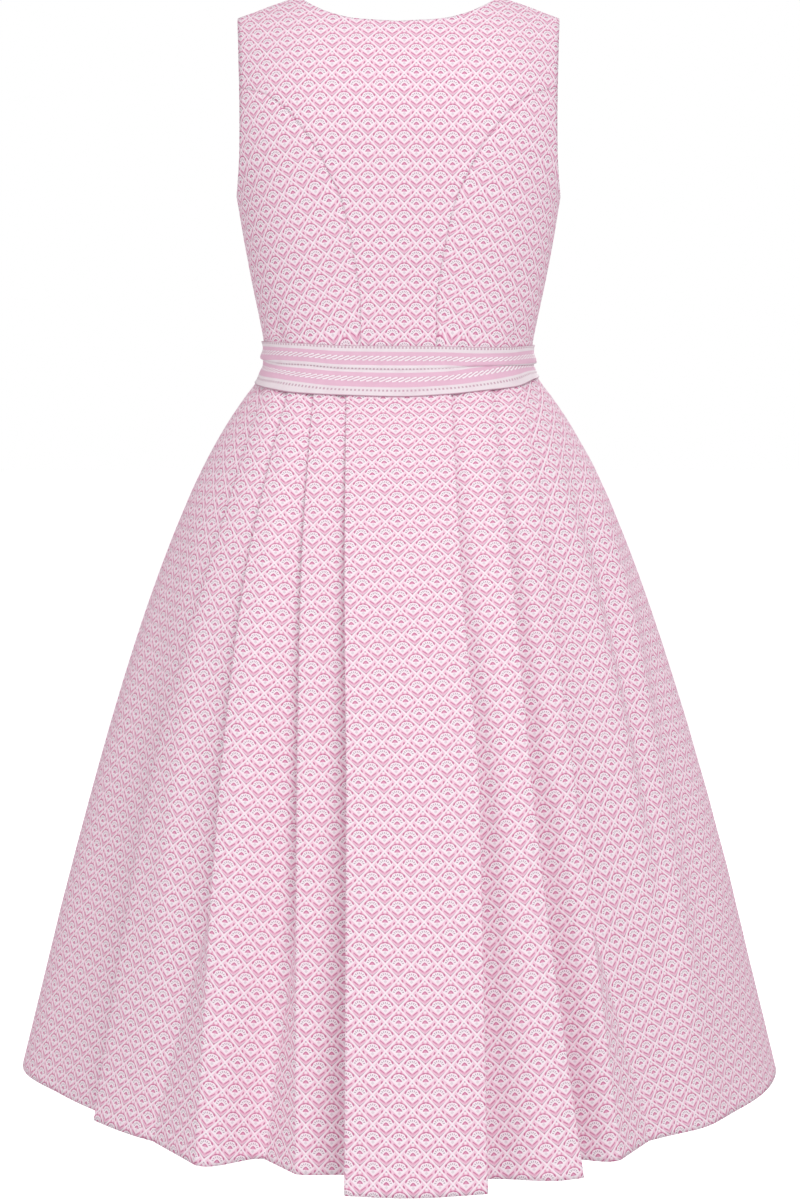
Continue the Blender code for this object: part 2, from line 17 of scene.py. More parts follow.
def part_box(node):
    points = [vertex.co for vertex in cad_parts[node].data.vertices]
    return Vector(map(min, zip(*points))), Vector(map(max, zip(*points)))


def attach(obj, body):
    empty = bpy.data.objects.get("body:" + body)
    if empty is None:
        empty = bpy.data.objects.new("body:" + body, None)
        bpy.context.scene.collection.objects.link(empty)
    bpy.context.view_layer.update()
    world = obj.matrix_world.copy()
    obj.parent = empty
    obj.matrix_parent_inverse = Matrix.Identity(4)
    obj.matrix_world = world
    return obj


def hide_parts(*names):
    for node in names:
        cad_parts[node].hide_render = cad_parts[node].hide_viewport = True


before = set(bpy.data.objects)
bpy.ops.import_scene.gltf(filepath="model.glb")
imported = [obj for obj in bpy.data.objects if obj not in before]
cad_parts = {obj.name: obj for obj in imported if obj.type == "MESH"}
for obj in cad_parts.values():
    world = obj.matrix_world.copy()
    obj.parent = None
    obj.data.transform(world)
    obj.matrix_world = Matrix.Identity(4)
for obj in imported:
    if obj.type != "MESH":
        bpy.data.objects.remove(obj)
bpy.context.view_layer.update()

bl_info = {
    "name": "Printed dirndl",
    "version": (1, 0, 0),
    "blender": (4, 5, 0),
    "location": "3D View > Sidebar > Dirndl",
    "description": "Makes a pleated dirndl with a woven ribbon sash around its packed solids",
    "category": "Object",
}

MM = 0.001

# ------------------------------------------------------------------ driving sizes

WAIST_Z = -358.0
HIP_Z = -556.0
KNEE_Z = -750.0
HEM_Z = -1064.0
SKIRT_TOP_Z = -359.3
OPENING_Z = -388.0
HEM_DEPTH = 345.0

NECK_POINT_X = 102.0
SHOULDER_TIP_X = 157.2
SHOULDER_FALL = 0.38
SHOULDER_BEND_X = 84.0
SHOULDER_BEND = 30.0
SHOULDER_DEPTH = 150.0

Level = namedtuple("Level", "z half_width back front")
TORSO = (
    Level(-358, 131.5, 84.0, 92.0),
    Level(-335, 132.8, 85.0, 95.4),
    Level(-315, 136.4, 87.0, 100.0),
    Level(-280, 143.8, 91.0, 109.0),
    Level(-240, 151.6, 97.0, 117.0),
    Level(-196, 159.0, 102.0, 119.0),
    Level(-160, 165.5, 105.0, 114.0),
    Level(-120, 168.0, 106.0, 105.0),
    Level(-60, 168.0, 104.0, 97.0),
    Level(12, 168.0, 100.0, 92.0),
)
CORNER_FILL = 0.25
BUST_X = 76.0
BUST_Z = -196.0
BUST_SPREAD = 46.0
BUST_RISE = 15.0

Flare = namedtuple("Flare", "z half_width")
SKIRT = (
    Flare(-358, 131.5),
    Flare(-372, 139.8),
    Flare(-390, 153.4),
    Flare(-415, 170.3),
    Flare(-455, 192.8),
    Flare(-530, 226.8),
    Flare(-650, 269.8),
    Flare(-830, 322.8),
    Flare(-1064, 383.0),
)

# Seams and edges of the bodice in the plane seen from the front
Edge = namedtuple("Edge", "x z")
BACK_PRINCESS = (
    Edge(36, -358), Edge(36, -335), Edge(36, -301), Edge(40, -268), Edge(46, -235),
    Edge(54, -203), Edge(65, -179), Edge(77, -156), Edge(91, -136), Edge(107, -117),
    Edge(128, -101), Edge(153, -92),
)
BACK_ARMHOLE = (
    Edge(153, -92), Edge(154, -70), Edge(155.2, -45), Edge(SHOULDER_TIP_X, -19.4),
)
BACK_UNDERARM = (
    Edge(153, -92), Edge(152.4, -120), Edge(152.8, -150), Edge(155, -176),
    Edge(159, -196),
)
BACK_NECKLINE = (
    Edge(0, -33), Edge(40, -30), Edge(65, -23), Edge(82, -14), Edge(94, -5), Edge(102, 0),
)
FRONT_PRINCESS = (
    Edge(44, -358), Edge(49, -330), Edge(59, -280), Edge(71, -235), Edge(84, -196),
    Edge(100, -160), Edge(119, -135), Edge(140, -118),
)
FRONT_ARMHOLE = (
    Edge(140, -118), Edge(138, -90), Edge(142, -60), Edge(150, -38), Edge(SHOULDER_TIP_X, -19.4),
)
FRONT_UNDERARM = (
    Edge(140, -118), Edge(143, -145), Edge(150, -172), Edge(159, -196),
)
FRONT_NECKLINE = (
    Edge(0, -150), Edge(42, -143), Edge(72, -118), Edge(88, -80), Edge(96, -38), Edge(102, 0),
)
SHOULDER_SEAM = (Edge(NECK_POINT_X, 0), Edge(130, -9), Edge(SHOULDER_TIP_X, -19.4))
SEAM_SHARE = 0.62
NECKLINE_SHARE = 2 / 3
LAP_HALF = 9.0
LAP_NEAR = 19.0
LAP_RAMP = 8.0
LAP_GAP = 0.8
SEAM_GAP = 0.04
BUST_SEAM_GAP = 0.04

# Pleats: edge, side that lies on top, step at the hem and cloth that runs beneath
Pleat = namedtuple(
    "Pleat",
    "name over x_waist x_hip x_knee x_hem out_hem step_hem lap_waist lap_knee lap_hem round_hem",
)
BACK_PLEATS = (
    Pleat("side_left", 1, -122, -186, -247, -308, -28, 16, 16, 9, 7, 2),
    Pleat("outer_left", 1, -100, -143, -163, -180, 5, 32, 12, 5, -66, 5),
    Pleat("inner_left", 1, -79, -90, -92, -92, -2, 29, 12, 6, -34, 4),
    Pleat("centre_left", 1, -49.5, -47.5, -43.5, -41.5, 42, 50, 16, 13, 12, 2.6),
    Pleat("centre_right", -1, 49, 56, 68, 69.5, 42, 35, 16, 13, 12, 2.6),
    Pleat("inner_right", -1, 86, 103, 117, 152, 27, 48, 16, 13, 10, 3),
    Pleat("outer_right", -1, 117, 139, 162, 199, 2, 27, 14, 6, -50, 4),
)
FRONT_PLEATS = (
    Pleat("outer_left", 1, -116, -150, -184, -232, 2, 30, 14, 7, -44, 7),
    Pleat("inner_left", 1, -86, -104, -122, -150, 20, 38, 14, 10, 4, 6),
    Pleat("centre_left", 1, -50, -52, -54, -58, 36, 38, 14, 13, 12, 6),
    Pleat("centre_right", -1, 50, 52, 54, 58, 36, 38, 14, 13, 12, 6),
    Pleat("inner_right", -1, 86, 104, 122, 150, 20, 38, 14, 10, 4, 6),
    Pleat("outer_right", -1, 116, 150, 184, 232, 2, 30, 14, 7, -44, 7),
)
PLEAT_ROUND = 0.8
OUT_POWER = 1.3
STEP_POWER = 1.6
TURN_POINTS = 7
PANEL_POINTS = 16
SIDE_PANEL_POINTS = 46
SKIRT_ROWS = 130

Wave = namedtuple("Wave", "degrees spread height")
BACK_WAVES = (Wave(1.5, 6, 5), Wave(51, 6, 6), Wave(-72, 8, -5))
FRONT_WAVES = (Wave(0, 7, 5), Wave(56, 7, -7), Wave(-56, 7, -7))

# Soft creases: start and end as x and z, half width and height, minus for a trough
Crease = namedtuple("Crease", "x_top z_top x_end z_end bow width height")
BACK_SKIRT_CREASES = (
    Crease(152, -405, 268, -980, 22, 11, -11.0),
    Crease(205, -480, 306, -980, 14, 14, -7.5),
    Crease(177, -430, 252, -760, 12, 10, 5.0),
    Crease(-205, -450, -330, -1040, -8, 20, -6.0),
    Crease(-176, -500, -252, -1040, -6, 14, 3.4),
    Crease(-118, -430, -140, -620, -3, 8, -1.8),
    Crease(-66, -470, -70, -900, 0, 9, -1.8),
    Crease(-18, -420, -14, -820, 0, 14, -1.4),
    Crease(24, -500, 30, -1000, 0, 13, 1.4),
    Crease(78, -430, 92, -800, 0, 8, -1.8),
    Crease(128, -470, 150, -760, 0, 8, -1.6),
    Crease(236, -760, 318, -1040, 0, 16, 2.6),
)
FRONT_SKIRT_CREASES = (
    Crease(0, -430, 4, -900, 0, 13, -2.0),
    Crease(70, -440, 90, -900, 0, 10, -2.0),
    Crease(-68, -470, -86, -980, 0, 10, -2.2),
    Crease(128, -450, 176, -880, 0, 12, -2.4),
    Crease(-132, -430, -182, -920, 0, 12, -2.2),
    Crease(186, -480, 286, -960, 8, 18, -4.4),
    Crease(-196, -460, -300, -1000, -8, 18, -4.0),
    Crease(230, -520, 330, -1020, 0, 16, 2.6),
    Crease(-236, -560, -318, -900, 0, 16, 2.4),
)
BACK_BODICE_CREASES = (
    Crease(-120, -303, -110, -352, 0, 5, -2.0),
    Crease(-128, -300, -122, -346, 0, 4, 1.2),
    Crease(118, -312, 108, -352, 0, 6, -1.6),
    Crease(-58, -318, -46, -352, 0, 8, -1.0),
    Crease(70, -322, 60, -352, 0, 8, -0.9),
    Crease(-146, -176, -104, -150, 0, 7, -1.2),
    Crease(146, -178, 106, -148, 0, 7, -1.2),
    Crease(-148, -60, -118, -36, 0, 8, -0.9),
    Crease(147, -58, 120, -34, 0, 8, -0.9),
)
FRONT_BODICE_CREASES = (
    Crease(-118, -306, -104, -350, 0, 6, -1.5),
    Crease(120, -300, 106, -348, 0, 6, -1.6),
    Crease(-146, -190, -112, -200, 0, 7, -1.3),
    Crease(147, -188, 114, -204, 0, 7, -1.3),
    Crease(-60, -325, -52, -353, 0, 7, -0.9),
    Crease(62, -322, 56, -353, 0, 7, -0.9),
)
CREASE_ONSET = 1.3
RIPPLE = 0.7
RIPPLE_LENGTH = 85.0
RIPPLE_TALL = 1.8
FINE_RIPPLE = 0.3
FINE_RIPPLE_WIDE = 26.0
FINE_RIPPLE_TALL = 40.0
SKIRT_RIPPLE = 2.0
BACK_SKIRT_SEED = 11.0
FRONT_SKIRT_SEED = 23.0

# Ribbon sash: where its woven lines run at each angle from the centre back
Ribbon = namedtuple("Ribbon", "degrees top rope tuck above below rope_2 dots bottom")
SASH = (
    Ribbon(-180, -340.0, -352.0, -361.8, 23.4, 23.6, -372.0, -382.6, -389.0),
    Ribbon(-140, -338.5, -350.5, -361.0, 23.0, 23.8, -371.0, -381.6, -387.5),
    Ribbon(-112, -335.0, -346.5, -354.5, 20.0, 24.2, -364.0, -375.5, -380.5),
    Ribbon(-87, -333.0, -343.8, -349.5, 17.8, 24.2, -357.9, -369.0, -373.4),
    Ribbon(-70, -334.0, -344.6, -353.0, 20.5, 24.0, -361.0, -371.6, -377.0),
    Ribbon(-56, -335.4, -345.9, -355.9, 23.0, 23.4, -363.8, -373.9, -380.4),
    Ribbon(-43, -336.7, -347.5, -357.4, 23.4, 23.6, -366.8, -376.9, -383.7),
    Ribbon(-22, -339.0, -350.8, -360.9, 23.4, 23.6, -370.4, -381.3, -386.2),
    Ribbon(1, -339.5, -351.6, -361.9, 23.4, 23.6, -372.0, -382.6, -387.8),
    Ribbon(19, -339.9, -351.7, -360.6, 22.4, 23.2, -370.3, -380.3, -385.4),
    Ribbon(33, -340.6, -352.6, -358.2, 19.0, 24.5, -366.2, -376.9, -382.0),
    Ribbon(51, -340.2, -351.6, -357.3, 20.0, 30.5, -360.9, -371.6, -378.2),
    Ribbon(71, -337.9, -348.5, -356.2, 20.5, 33.4, -357.2, -364.9, -370.4),
    Ribbon(92, -336.5, -347.4, -354.0, 20.0, 31.0, -356.6, -363.4, -368.0),
    Ribbon(118, -337.0, -349.0, -357.5, 21.5, 26.0, -365.0, -374.4, -381.0),
    Ribbon(140, -338.5, -350.6, -360.6, 23.0, 24.0, -370.0, -380.6, -386.6),
    Ribbon(180, -340.0, -352.0, -361.8, 23.4, 23.6, -372.0, -382.6, -389.0),
)
RIBBON_WIDTH = 51.0
ROPE_AT = 12.5
ROPE_2_AT = 34.0
DOTS_AT = 45.0
SASH_GAP = 0.8
SASH_COLUMNS = 300
CLOTH = 1.2

Tail = namedtuple("Tail", "z inner outer")
TAILS = (
    Tail(-394, 1.5, 15),
    Tail(-415, 3, 25),
    Tail(-455, 4, 36),
    Tail(-530, 5, 44),
    Tail(-650, 6, 48),
    Tail(-830, 7, 50),
)
TAIL_END_LEFT = -640.0
TAIL_END_RIGHT = -690.0

BUTTON_COUNT = 6
BUTTON_TOP_Z = -162.0
BUTTON_STEP = 31.5
BUTTON_SEAT = 0.6

# Camera: behind the dirndl at about the height of the waist, tipped down, in metres
CAMERA_PLACE = (0.0015, -2.2, -0.391)
CAMERA_PITCH = 5.194
CAMERA_LENS = 66.0
CAMERA_SENSOR = 36.0
FLOOR_Z = -1.42
FLOOR_RADIUS = 30.0
FLOOR_GLOW = 0.52
LIGHT_TARGET = (0.0, 0.0, -0.55)

Lamp = namedtuple("Lamp", "name place size")
LAMPS = (
    Lamp("key", (1.3, -3.0, 1.2), 1.8),
    Lamp("fill", (-2.6, -2.2, 0.0), 2.0),
    Lamp("front", (0.8, 3.2, 0.9), 2.4),
)


# ------------------------------------------------------------------ smooth tables

def ease(t):
    """Smooth step from 0 to 1."""
    t = min(max(t, 0.0), 1.0)
    return t * t * (3 - 2 * t)


def along(keys, values, key):
    """Smooth value at a key, with no overshoot between the given ones."""
    if keys[0] > keys[-1]:
        keys = keys[::-1]
        values = values[::-1]
    if key <= keys[0]:
        return values[0]
    if key >= keys[-1]:
        return values[-1]
    slopes = []
    for i in range(len(keys) - 1):
        slopes.append((values[i + 1] - values[i]) / (keys[i + 1] - keys[i]))
    tangents = [slopes[0]]
    for before, after in zip(slopes, slopes[1:]):
        same_way = before * after > 0
        tangents.append(2 * before * after / (before + after) if same_way else 0.0)
    tangents.append(slopes[-1])
    i = max(n for n in range(len(keys) - 1) if keys[n] <= key)
    span = keys[i + 1] - keys[i]
    t = (key - keys[i]) / span
    rise = values[i] * (1 + 2 * t) * (1 - t) ** 2 + values[i + 1] * t * t * (3 - 2 * t)
    return rise + span * (tangents[i] * t * (1 - t) ** 2 - tangents[i + 1] * t * t * (1 - t))


def lookup(table, key, name):
    """Smooth value of a table's column at a key of its first column."""
    first = table[0]._fields[0]
    return along([getattr(row, first) for row in table], [getattr(row, name) for row in table], key)


def stations(count, start=0.0, end=1.0):
    """Even steps from one value to another."""
    return [start + (end - start) * n / (count - 1) for n in range(count)]


def crease_height(creases, x, z):
    """Height of the soft creases at a place on a panel."""
    total = 0.0
    for crease in creases:
        share = (z - crease.z_top) / (crease.z_end - crease.z_top)
        if not 0.0 < share < 1.0:
            continue
        path = crease.x_top + (crease.x_end - crease.x_top) * share
        path += crease.bow * math.sin(math.pi * share)
        reach = (x - path) / (crease.width * (0.8 + 0.4 * share))
        if abs(reach) < 4.0:
            onset = math.sin(math.pi * share) ** CREASE_ONSET
            total += crease.height * onset * math.exp(-reach * reach)
    return total


def ripple(x, z, seed):
    """Slight unevenness of cloth that has been worn and pressed."""
    place = Vector((x / RIPPLE_LENGTH, z / (RIPPLE_TALL * RIPPLE_LENGTH), seed))
    fine = Vector((x / FINE_RIPPLE_WIDE, z / FINE_RIPPLE_TALL, seed + 5.0))
    return RIPPLE * (noise.noise(place) + FINE_RIPPLE * noise.noise(fine))


# ------------------------------------------------------------------ bodice form

def shoulder_line(x):
    """Height of the shoulder line, zero at the neck points."""
    def fall(reach):
        inward = reach - SHOULDER_BEND_X
        return SHOULDER_FALL / 2 * (inward + np.hypot(inward, SHOULDER_BEND))
    return fall(NECK_POINT_X) - fall(np.abs(x))


FORM_Z = np.arange(-360.0, 14.0)
FORM = {name: np.array([lookup(TORSO, z, name) for z in FORM_Z]) for name in TORSO[0]._fields[1:]}


def form_at(z, name):
    """Half width or depth of the bodice at one or many heights."""
    return np.interp(z, FORM_Z, FORM[name])


def torso_y(side, x, z):
    """Depth of the middle of the bodice cloth at one or many places."""
    depth = form_at(z, "back" if side < 0 else "front")
    drop = np.maximum(shoulder_line(x) - z, 0.0)
    depth = depth * np.sqrt(1 - (1 - np.minimum(drop / SHOULDER_DEPTH, 1)) ** 2)
    sine = np.clip(x / form_at(z, "half_width"), -1.0, 1.0)
    y = depth * np.sqrt(1 - sine * sine) * (1 + CORNER_FILL * sine * sine)
    if side > 0:
        for apex in (-BUST_X, BUST_X):
            reach = ((x - apex) / BUST_SPREAD) ** 2 + ((z - BUST_Z) / BUST_SPREAD) ** 2
            y = y + BUST_RISE * np.exp(-reach)
    return side * y


def torso(side, x, z):
    """Middle of the bodice cloth at one place, in millimetres."""
    return Vector((x, torso_y(side, x, z), z))


def polyline(edges, share):
    """Point at a share of a smooth edge through the given ones."""
    steps = [0.0]
    for here, there in zip(edges, edges[1:]):
        steps.append(steps[-1] + math.hypot(there.x - here.x, there.z - here.z))
    at = share * steps[-1]
    return along(steps, [e.x for e in edges], at), along(steps, [e.z for e in edges], at)


def beside(edges, share, shift):
    """Point at a share of an edge, moved to its right-hand side."""
    x, z = polyline(edges, share)
    before = polyline(edges, max(share - 0.01, 0.0))
    after = polyline(edges, min(share + 0.01, 1.0))
    dx, dz = after[0] - before[0], after[1] - before[1]
    length = math.hypot(dx, dz)
    return x + shift * dz / length, z - shift * dx / length


def joined(first, second, share, split, shift=0.0):
    """One boundary from two edges that meet at a corner."""
    if share <= split:
        return beside(first, share / split, shift)
    return polyline(second, (share - split) / (1 - split))


def patch(bottom, top, left, right, u, v):
    """Blend of four boundary curves that meet at their ends."""
    out = []
    for i in (0, 1):
        across = (1 - v) * bottom(u)[i] + v * top(u)[i]
        up = (1 - u) * left(v)[i] + u * right(v)[i]
        corners = (1 - u) * (1 - v) * bottom(0)[i] + u * (1 - v) * bottom(1)[i]
        corners += (1 - u) * v * top(0)[i] + u * v * top(1)[i]
        out.append(across + up - corners)
    return out


def to_angle(x, z):
    """Width as the angle of the section, so that a side seam is 90 degrees."""
    return math.degrees(math.asin(min(x / form_at(z, "half_width"), 1.0)))


def from_angle(degrees, z):
    """Width at an angle of the section."""
    return math.sin(math.radians(degrees)) * form_at(z, "half_width")


# ------------------------------------------------------------------ skirt form

def flare(z):
    """Share of the skirt's flare reached at a height."""
    widths = lookup(SKIRT, z, "half_width")
    return (widths - SKIRT[0].half_width) / (SKIRT[-1].half_width - SKIRT[0].half_width)


class Section:
    """Half of the dirndl near the waist or below: an ellipse filled out at its corners."""

    def __init__(self, side, z):
        share = flare(z)
        start = flare(OPENING_Z)
        depth = lookup(TORSO, max(z, WAIST_Z), "back" if side < 0 else "front")
        self.side = side
        self.z = z
        self.half_width = lookup(TORSO if z > WAIST_Z else SKIRT, z, "half_width")
        self.depth = depth + (HEM_DEPTH - depth) * share
        self.fill = CORNER_FILL * (1 - share)
        self.opened = max((share - start) / (1 - start), 0.0)

    def at(self, degrees):
        """Point, outward direction and length for each degree."""
        angle = math.radians(degrees)
        sine, cosine = math.sin(angle), math.cos(angle)
        fill, depth = self.fill, self.depth
        dx = self.half_width * cosine
        dy = -depth * sine * (1 + fill * sine * sine) + 2 * fill * depth * sine * cosine * cosine
        length = math.hypot(dx, dy)
        x = self.half_width * sine
        y = self.side * depth * cosine * (1 + fill * sine * sine)
        return x, y, -dy / length, self.side * dx / length, math.radians(length)

    def point(self, degrees, out):
        """Point at a distance out from the section, in millimetres."""
        x, y, out_x, out_y, _ = self.at(degrees)
        return Vector((x + out * out_x, y + out * out_y, self.z))

    def angle(self, x):
        """Angle at which the section has a width."""
        return math.degrees(math.asin(x / self.half_width))


def wave_height(waves, section, degrees):
    """Height of the broad waves between the pleats."""
    total = 0.0
    for wave in waves:
        total += wave.height * math.exp(-(((degrees - wave.degrees) / wave.spread) ** 2))
    return total * section.opened


def pleat_turns(pleat, section):
    """Pleat edge at a height: its two turns, and where the flat cloth begins."""
    z, share = section.z, section.opened
    x = along(
        [WAIST_Z, HIP_Z, KNEE_Z, HEM_Z],
        [pleat.x_waist, pleat.x_hip, pleat.x_knee, pleat.x_hem],
        z,
    )
    lap = along([WAIST_Z, KNEE_Z, HEM_Z], [pleat.lap_waist, pleat.lap_knee, pleat.lap_hem], z)
    flat_step = 4 * PLEAT_ROUND
    step = flat_step + (pleat.step_hem - flat_step) * share ** STEP_POWER
    radius = min(PLEAT_ROUND + (pleat.round_hem - PLEAT_ROUND) * share, step / 4)
    out = pleat.out_hem * share ** OUT_POWER
    edge = section.angle(x)
    per_degree = section.at(edge)[4]

    reach_x, reach_h = 2 * radius - lap, 2 * radius - step
    apart = math.hypot(reach_x, reach_h)
    facing = math.atan2(reach_x, reach_h) % (2 * math.pi)
    turn = facing - math.acos(min(2 * radius / apart, 1.0))
    points = []
    for n in range(TURN_POINTS):
        angle = math.pi / 2 - turn * n / (TURN_POINTS - 1)
        points.append((-radius + radius * math.cos(angle), -radius + radius * math.sin(angle)))
    for n in range(TURN_POINTS):
        angle = 3 * math.pi / 2 - turn + turn * n / (TURN_POINTS - 1)
        points.append(
            (radius - lap + radius * math.cos(angle), radius - step + radius * math.sin(angle))
        )
    turns = [(edge - pleat.over * across / per_degree, out + up) for across, up in points]
    top_free = edge + pleat.over * (max(lap, 0.0) + 2 * radius) / per_degree
    under_free = edge - pleat.over * (max(-lap, 0.0) + 2 * radius) / per_degree
    if pleat.over > 0:
        return turns[::-1], under_free, top_free
    return turns, top_free, under_free


def panel_points(start, start_free, end_free, end, count):
    """Cloth between two pleats, which rises or falls only where it is free."""
    if start_free > end_free:
        start_free = end_free = (start_free + end_free) / 2
    points = []
    for share in stations(count):
        degrees = start_free + (end_free - start_free) * share
        points.append((degrees, start[1] + (end[1] - start[1]) * ease(share)))
    return points


def skirt_row(section, pleats):
    """Angle and height of all points of one half of the skirt, from left to right."""
    ends = 90.0 - SEAM_GAP / 2 / section.at(90.0)[4]
    row = []
    start, start_free, count = (-ends, 0.0), -ends, SIDE_PANEL_POINTS
    for pleat in pleats:
        turns, left_free, right_free = pleat_turns(pleat, section)
        row += panel_points(start, start_free, left_free, turns[0], count)
        row += turns
        start, start_free, count = turns[-1], right_free, PANEL_POINTS
    return row + panel_points(start, start_free, ends, (ends, 0.0), SIDE_PANEL_POINTS)


def skirt_panels(pleats):
    """Column where each panel starts and its middle column; the panel on top keeps the riser."""
    starts, middles = [0], [SIDE_PANEL_POINTS // 2]
    column = SIDE_PANEL_POINTS
    for number, pleat in enumerate(pleats):
        edge_arc = TURN_POINTS - 1
        starts.append(column + (edge_arc if pleat.over > 0 else edge_arc + 1))
        column += 2 * TURN_POINTS
        count = SIDE_PANEL_POINTS if number == len(pleats) - 1 else PANEL_POINTS
        middles.append(column + count // 2)
        column += count
    return starts + [column - 1], middles


# ------------------------------------------------------------------ meshes

GRAIN_ROWS = 16
WELD_REACH = 0.00002


def smoothed(values, reach):
    """Running mean over a number of rows each way, so that small creases don't turn the grain."""
    padded = np.concatenate([[values[0]] * reach, values, [values[-1]] * reach])
    return np.convolve(padded, np.full(2 * reach + 1, 1 / (2 * reach + 1)), mode="valid")


def lengths_across(points):
    """Length of cloth from the first column to each point of a grid."""
    steps = np.linalg.norm(np.diff(points, axis=1), axis=2)
    return np.concatenate([np.zeros((len(points), 1)), np.cumsum(steps, axis=1)], axis=1)


def panel_uv(points, starts, middles):
    """Real lengths on each panel, measured from its own grain line, for every face corner."""
    rows, columns = points.shape[:2]
    across = lengths_across(points)
    uv = np.zeros((rows - 1, columns - 1, 4, 2))
    for number, middle in enumerate(middles):
        first, last = starts[number], starts[number + 1]
        line = points[:, middle]
        run = np.gradient(line, axis=0)
        run /= np.linalg.norm(run, axis=1)[:, None]
        left, right = max(middle - 2, first), min(middle + 2, last)
        sideways = points[:, right] - points[:, left]
        sideways /= np.linalg.norm(sideways, axis=1)[:, None]
        lean = smoothed(np.sum(run * sideways, axis=1), GRAIN_ROWS)
        down = np.concatenate([[0.0], np.cumsum(np.linalg.norm(np.diff(line, axis=0), axis=1))])
        reach = across[:, first:last + 1] - across[:, middle][:, None]
        u = reach * np.sqrt(1 - lean * lean)[:, None]
        v = down[:, None] + reach * lean[:, None]
        uv[:, first:last] = grid_uv(u, v)
    return uv


def cell_corners(grid):
    """The four corners of every cell of a grid, in order round the cell."""
    return np.stack([grid[:-1, :-1], grid[:-1, 1:], grid[1:, 1:], grid[1:, :-1]], axis=2)


def grid_uv(u, v):
    """Face corners of one smooth map of u and v over a grid."""
    return cell_corners(np.stack([u, v], axis=2))


def grid_mesh(name, points, uv, turned):
    """Mesh on a grid of points in millimetres with its grain map, turned to face the other way."""
    rows, columns = points.shape[:2]
    quads = cell_corners(np.arange(rows * columns).reshape(rows, columns))
    if turned:
        quads = quads[:, :, ::-1]
        uv = uv[:, :, ::-1]
    mesh = bpy.data.meshes.new(name)
    mesh.from_pydata((points.reshape(-1, 3) * MM).tolist(), [], quads.reshape(-1, 4).tolist())
    layer = mesh.uv_layers.new(name="Grain")
    layer.data.foreach_set("uv", (uv.reshape(-1, 2) * MM).ravel())
    return mesh


def weld(mesh, closed):
    """Join the ends of a ring of cloth, and close it to a solid where asked."""
    shape = bmesh.new()
    shape.from_mesh(mesh)
    bmesh.ops.remove_doubles(shape, verts=shape.verts, dist=WELD_REACH)
    if closed:
        bmesh.ops.holes_fill(shape, edges=shape.edges, sides=0)
        bmesh.ops.recalc_face_normals(shape, faces=shape.faces)
    shape.to_mesh(mesh)
    shape.free()


def piece(name, mesh, materials):
    """Object in the dirndl's collection, smooth shaded."""
    for finish in materials:
        mesh.materials.append(finish)
    mesh.shade_smooth()
    thing = bpy.data.objects.new(name, mesh)
    bpy.data.collections["dirndl"].objects.link(thing)
    return thing


def cloth_piece(name, points, uv, materials, thickness, outward):
    """Sheet of cloth on a grid of points in millimetres, thickened to both sides."""
    thing = piece(name, grid_mesh(name, points, uv, not outward), materials)
    solidify = thing.modifiers.new("Cloth", "SOLIDIFY")
    solidify.thickness = thickness
    solidify.offset = 0.0
    solidify.material_offset = len(materials) - 1
    return thing


def dress_node(thing, node):
    """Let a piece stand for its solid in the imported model."""
    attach(thing, "root")
    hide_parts(node)
    return thing


def normals_of(points):
    """Unit normals of a grid of points."""
    along_rows = np.gradient(points, axis=1)
    along_columns = np.gradient(points, axis=0)
    normals = np.cross(along_rows, along_columns)
    length = np.linalg.norm(normals, axis=2)
    length[length == 0] = 1.0
    return normals / length[:, :, None]


# ------------------------------------------------------------------ node arithmetic

class Term:
    """A number in a material's node tree that takes part in arithmetic."""

    def __init__(self, tree, socket):
        self.tree = tree
        self.socket = socket

    def made(self, operation, *others, clamp=False):
        """Result of an operation with other terms or numbers."""
        node = self.tree.nodes.new("ShaderNodeMath")
        node.operation = operation
        node.use_clamp = clamp
        for pin, value in zip(node.inputs, (self,) + others):
            if isinstance(value, Term):
                self.tree.links.new(value.socket, pin)
            else:
                pin.default_value = value
        return Term(self.tree, node.outputs[0])

    def __add__(self, other):
        return self.made("ADD", other)

    def __sub__(self, other):
        return self.made("SUBTRACT", other)

    def __mul__(self, other):
        return self.made("MULTIPLY", other)

    def __truediv__(self, other):
        return self.made("DIVIDE", other)

    def __abs__(self):
        return self.made("ABSOLUTE")

    __radd__ = __add__
    __rmul__ = __mul__

    def fraction(self):
        """What is left over a whole number."""
        return self.made("FRACT")

    def minimum(self, other):
        """The smaller of two."""
        return self.made("MINIMUM", other)

    def maximum(self, other):
        """The larger of two."""
        return self.made("MAXIMUM", other)

    def above(self, other):
        """1 where the number is greater."""
        return self.made("GREATER_THAN", other)

    def below(self, other):
        """1 where the number is smaller."""
        return self.made("LESS_THAN", other)

    def sine(self):
        """Sine of an angle in radians."""
        return self.made("SINE")

    def cosine(self):
        """Cosine of an angle in radians."""
        return self.made("COSINE")

    def root(self):
        """Square root."""
        return self.made("SQRT")

    def sign(self):
        """1, 0 or -1."""
        return self.made("SIGN")

    def inside(self, limit, soft):
        """1 where the number is under the limit, fading over a soft edge."""
        return ((self * (-1.0 / soft)) + (limit / soft + 0.5)).made("ADD", 0.0, clamp=True)

    def stroke(self, half_width, soft):
        """1 on a line where the number is zero."""
        return abs(self).inside(half_width, soft)


def length_of(x, y):
    """Distance of a place from the origin."""
    return (x * x + y * y).root()


def painted(tree, base, colour, mask):
    """Colour laid over another one where a mask is 1. The mask is a term or one share for all."""
    node = tree.nodes.new("ShaderNodeMix")
    node.data_type = "RGBA"
    if isinstance(mask, Term):
        tree.links.new(mask.socket, node.inputs["Factor"])
    else:
        node.inputs["Factor"].default_value = mask
    for pin, value in zip((node.inputs["A"], node.inputs["B"]), (base, colour)):
        if isinstance(value, bpy.types.NodeSocket):
            tree.links.new(value, pin)
        else:
            pin.default_value = tuple(value)[:3] + (1.0,)
    return node.outputs["Result"]


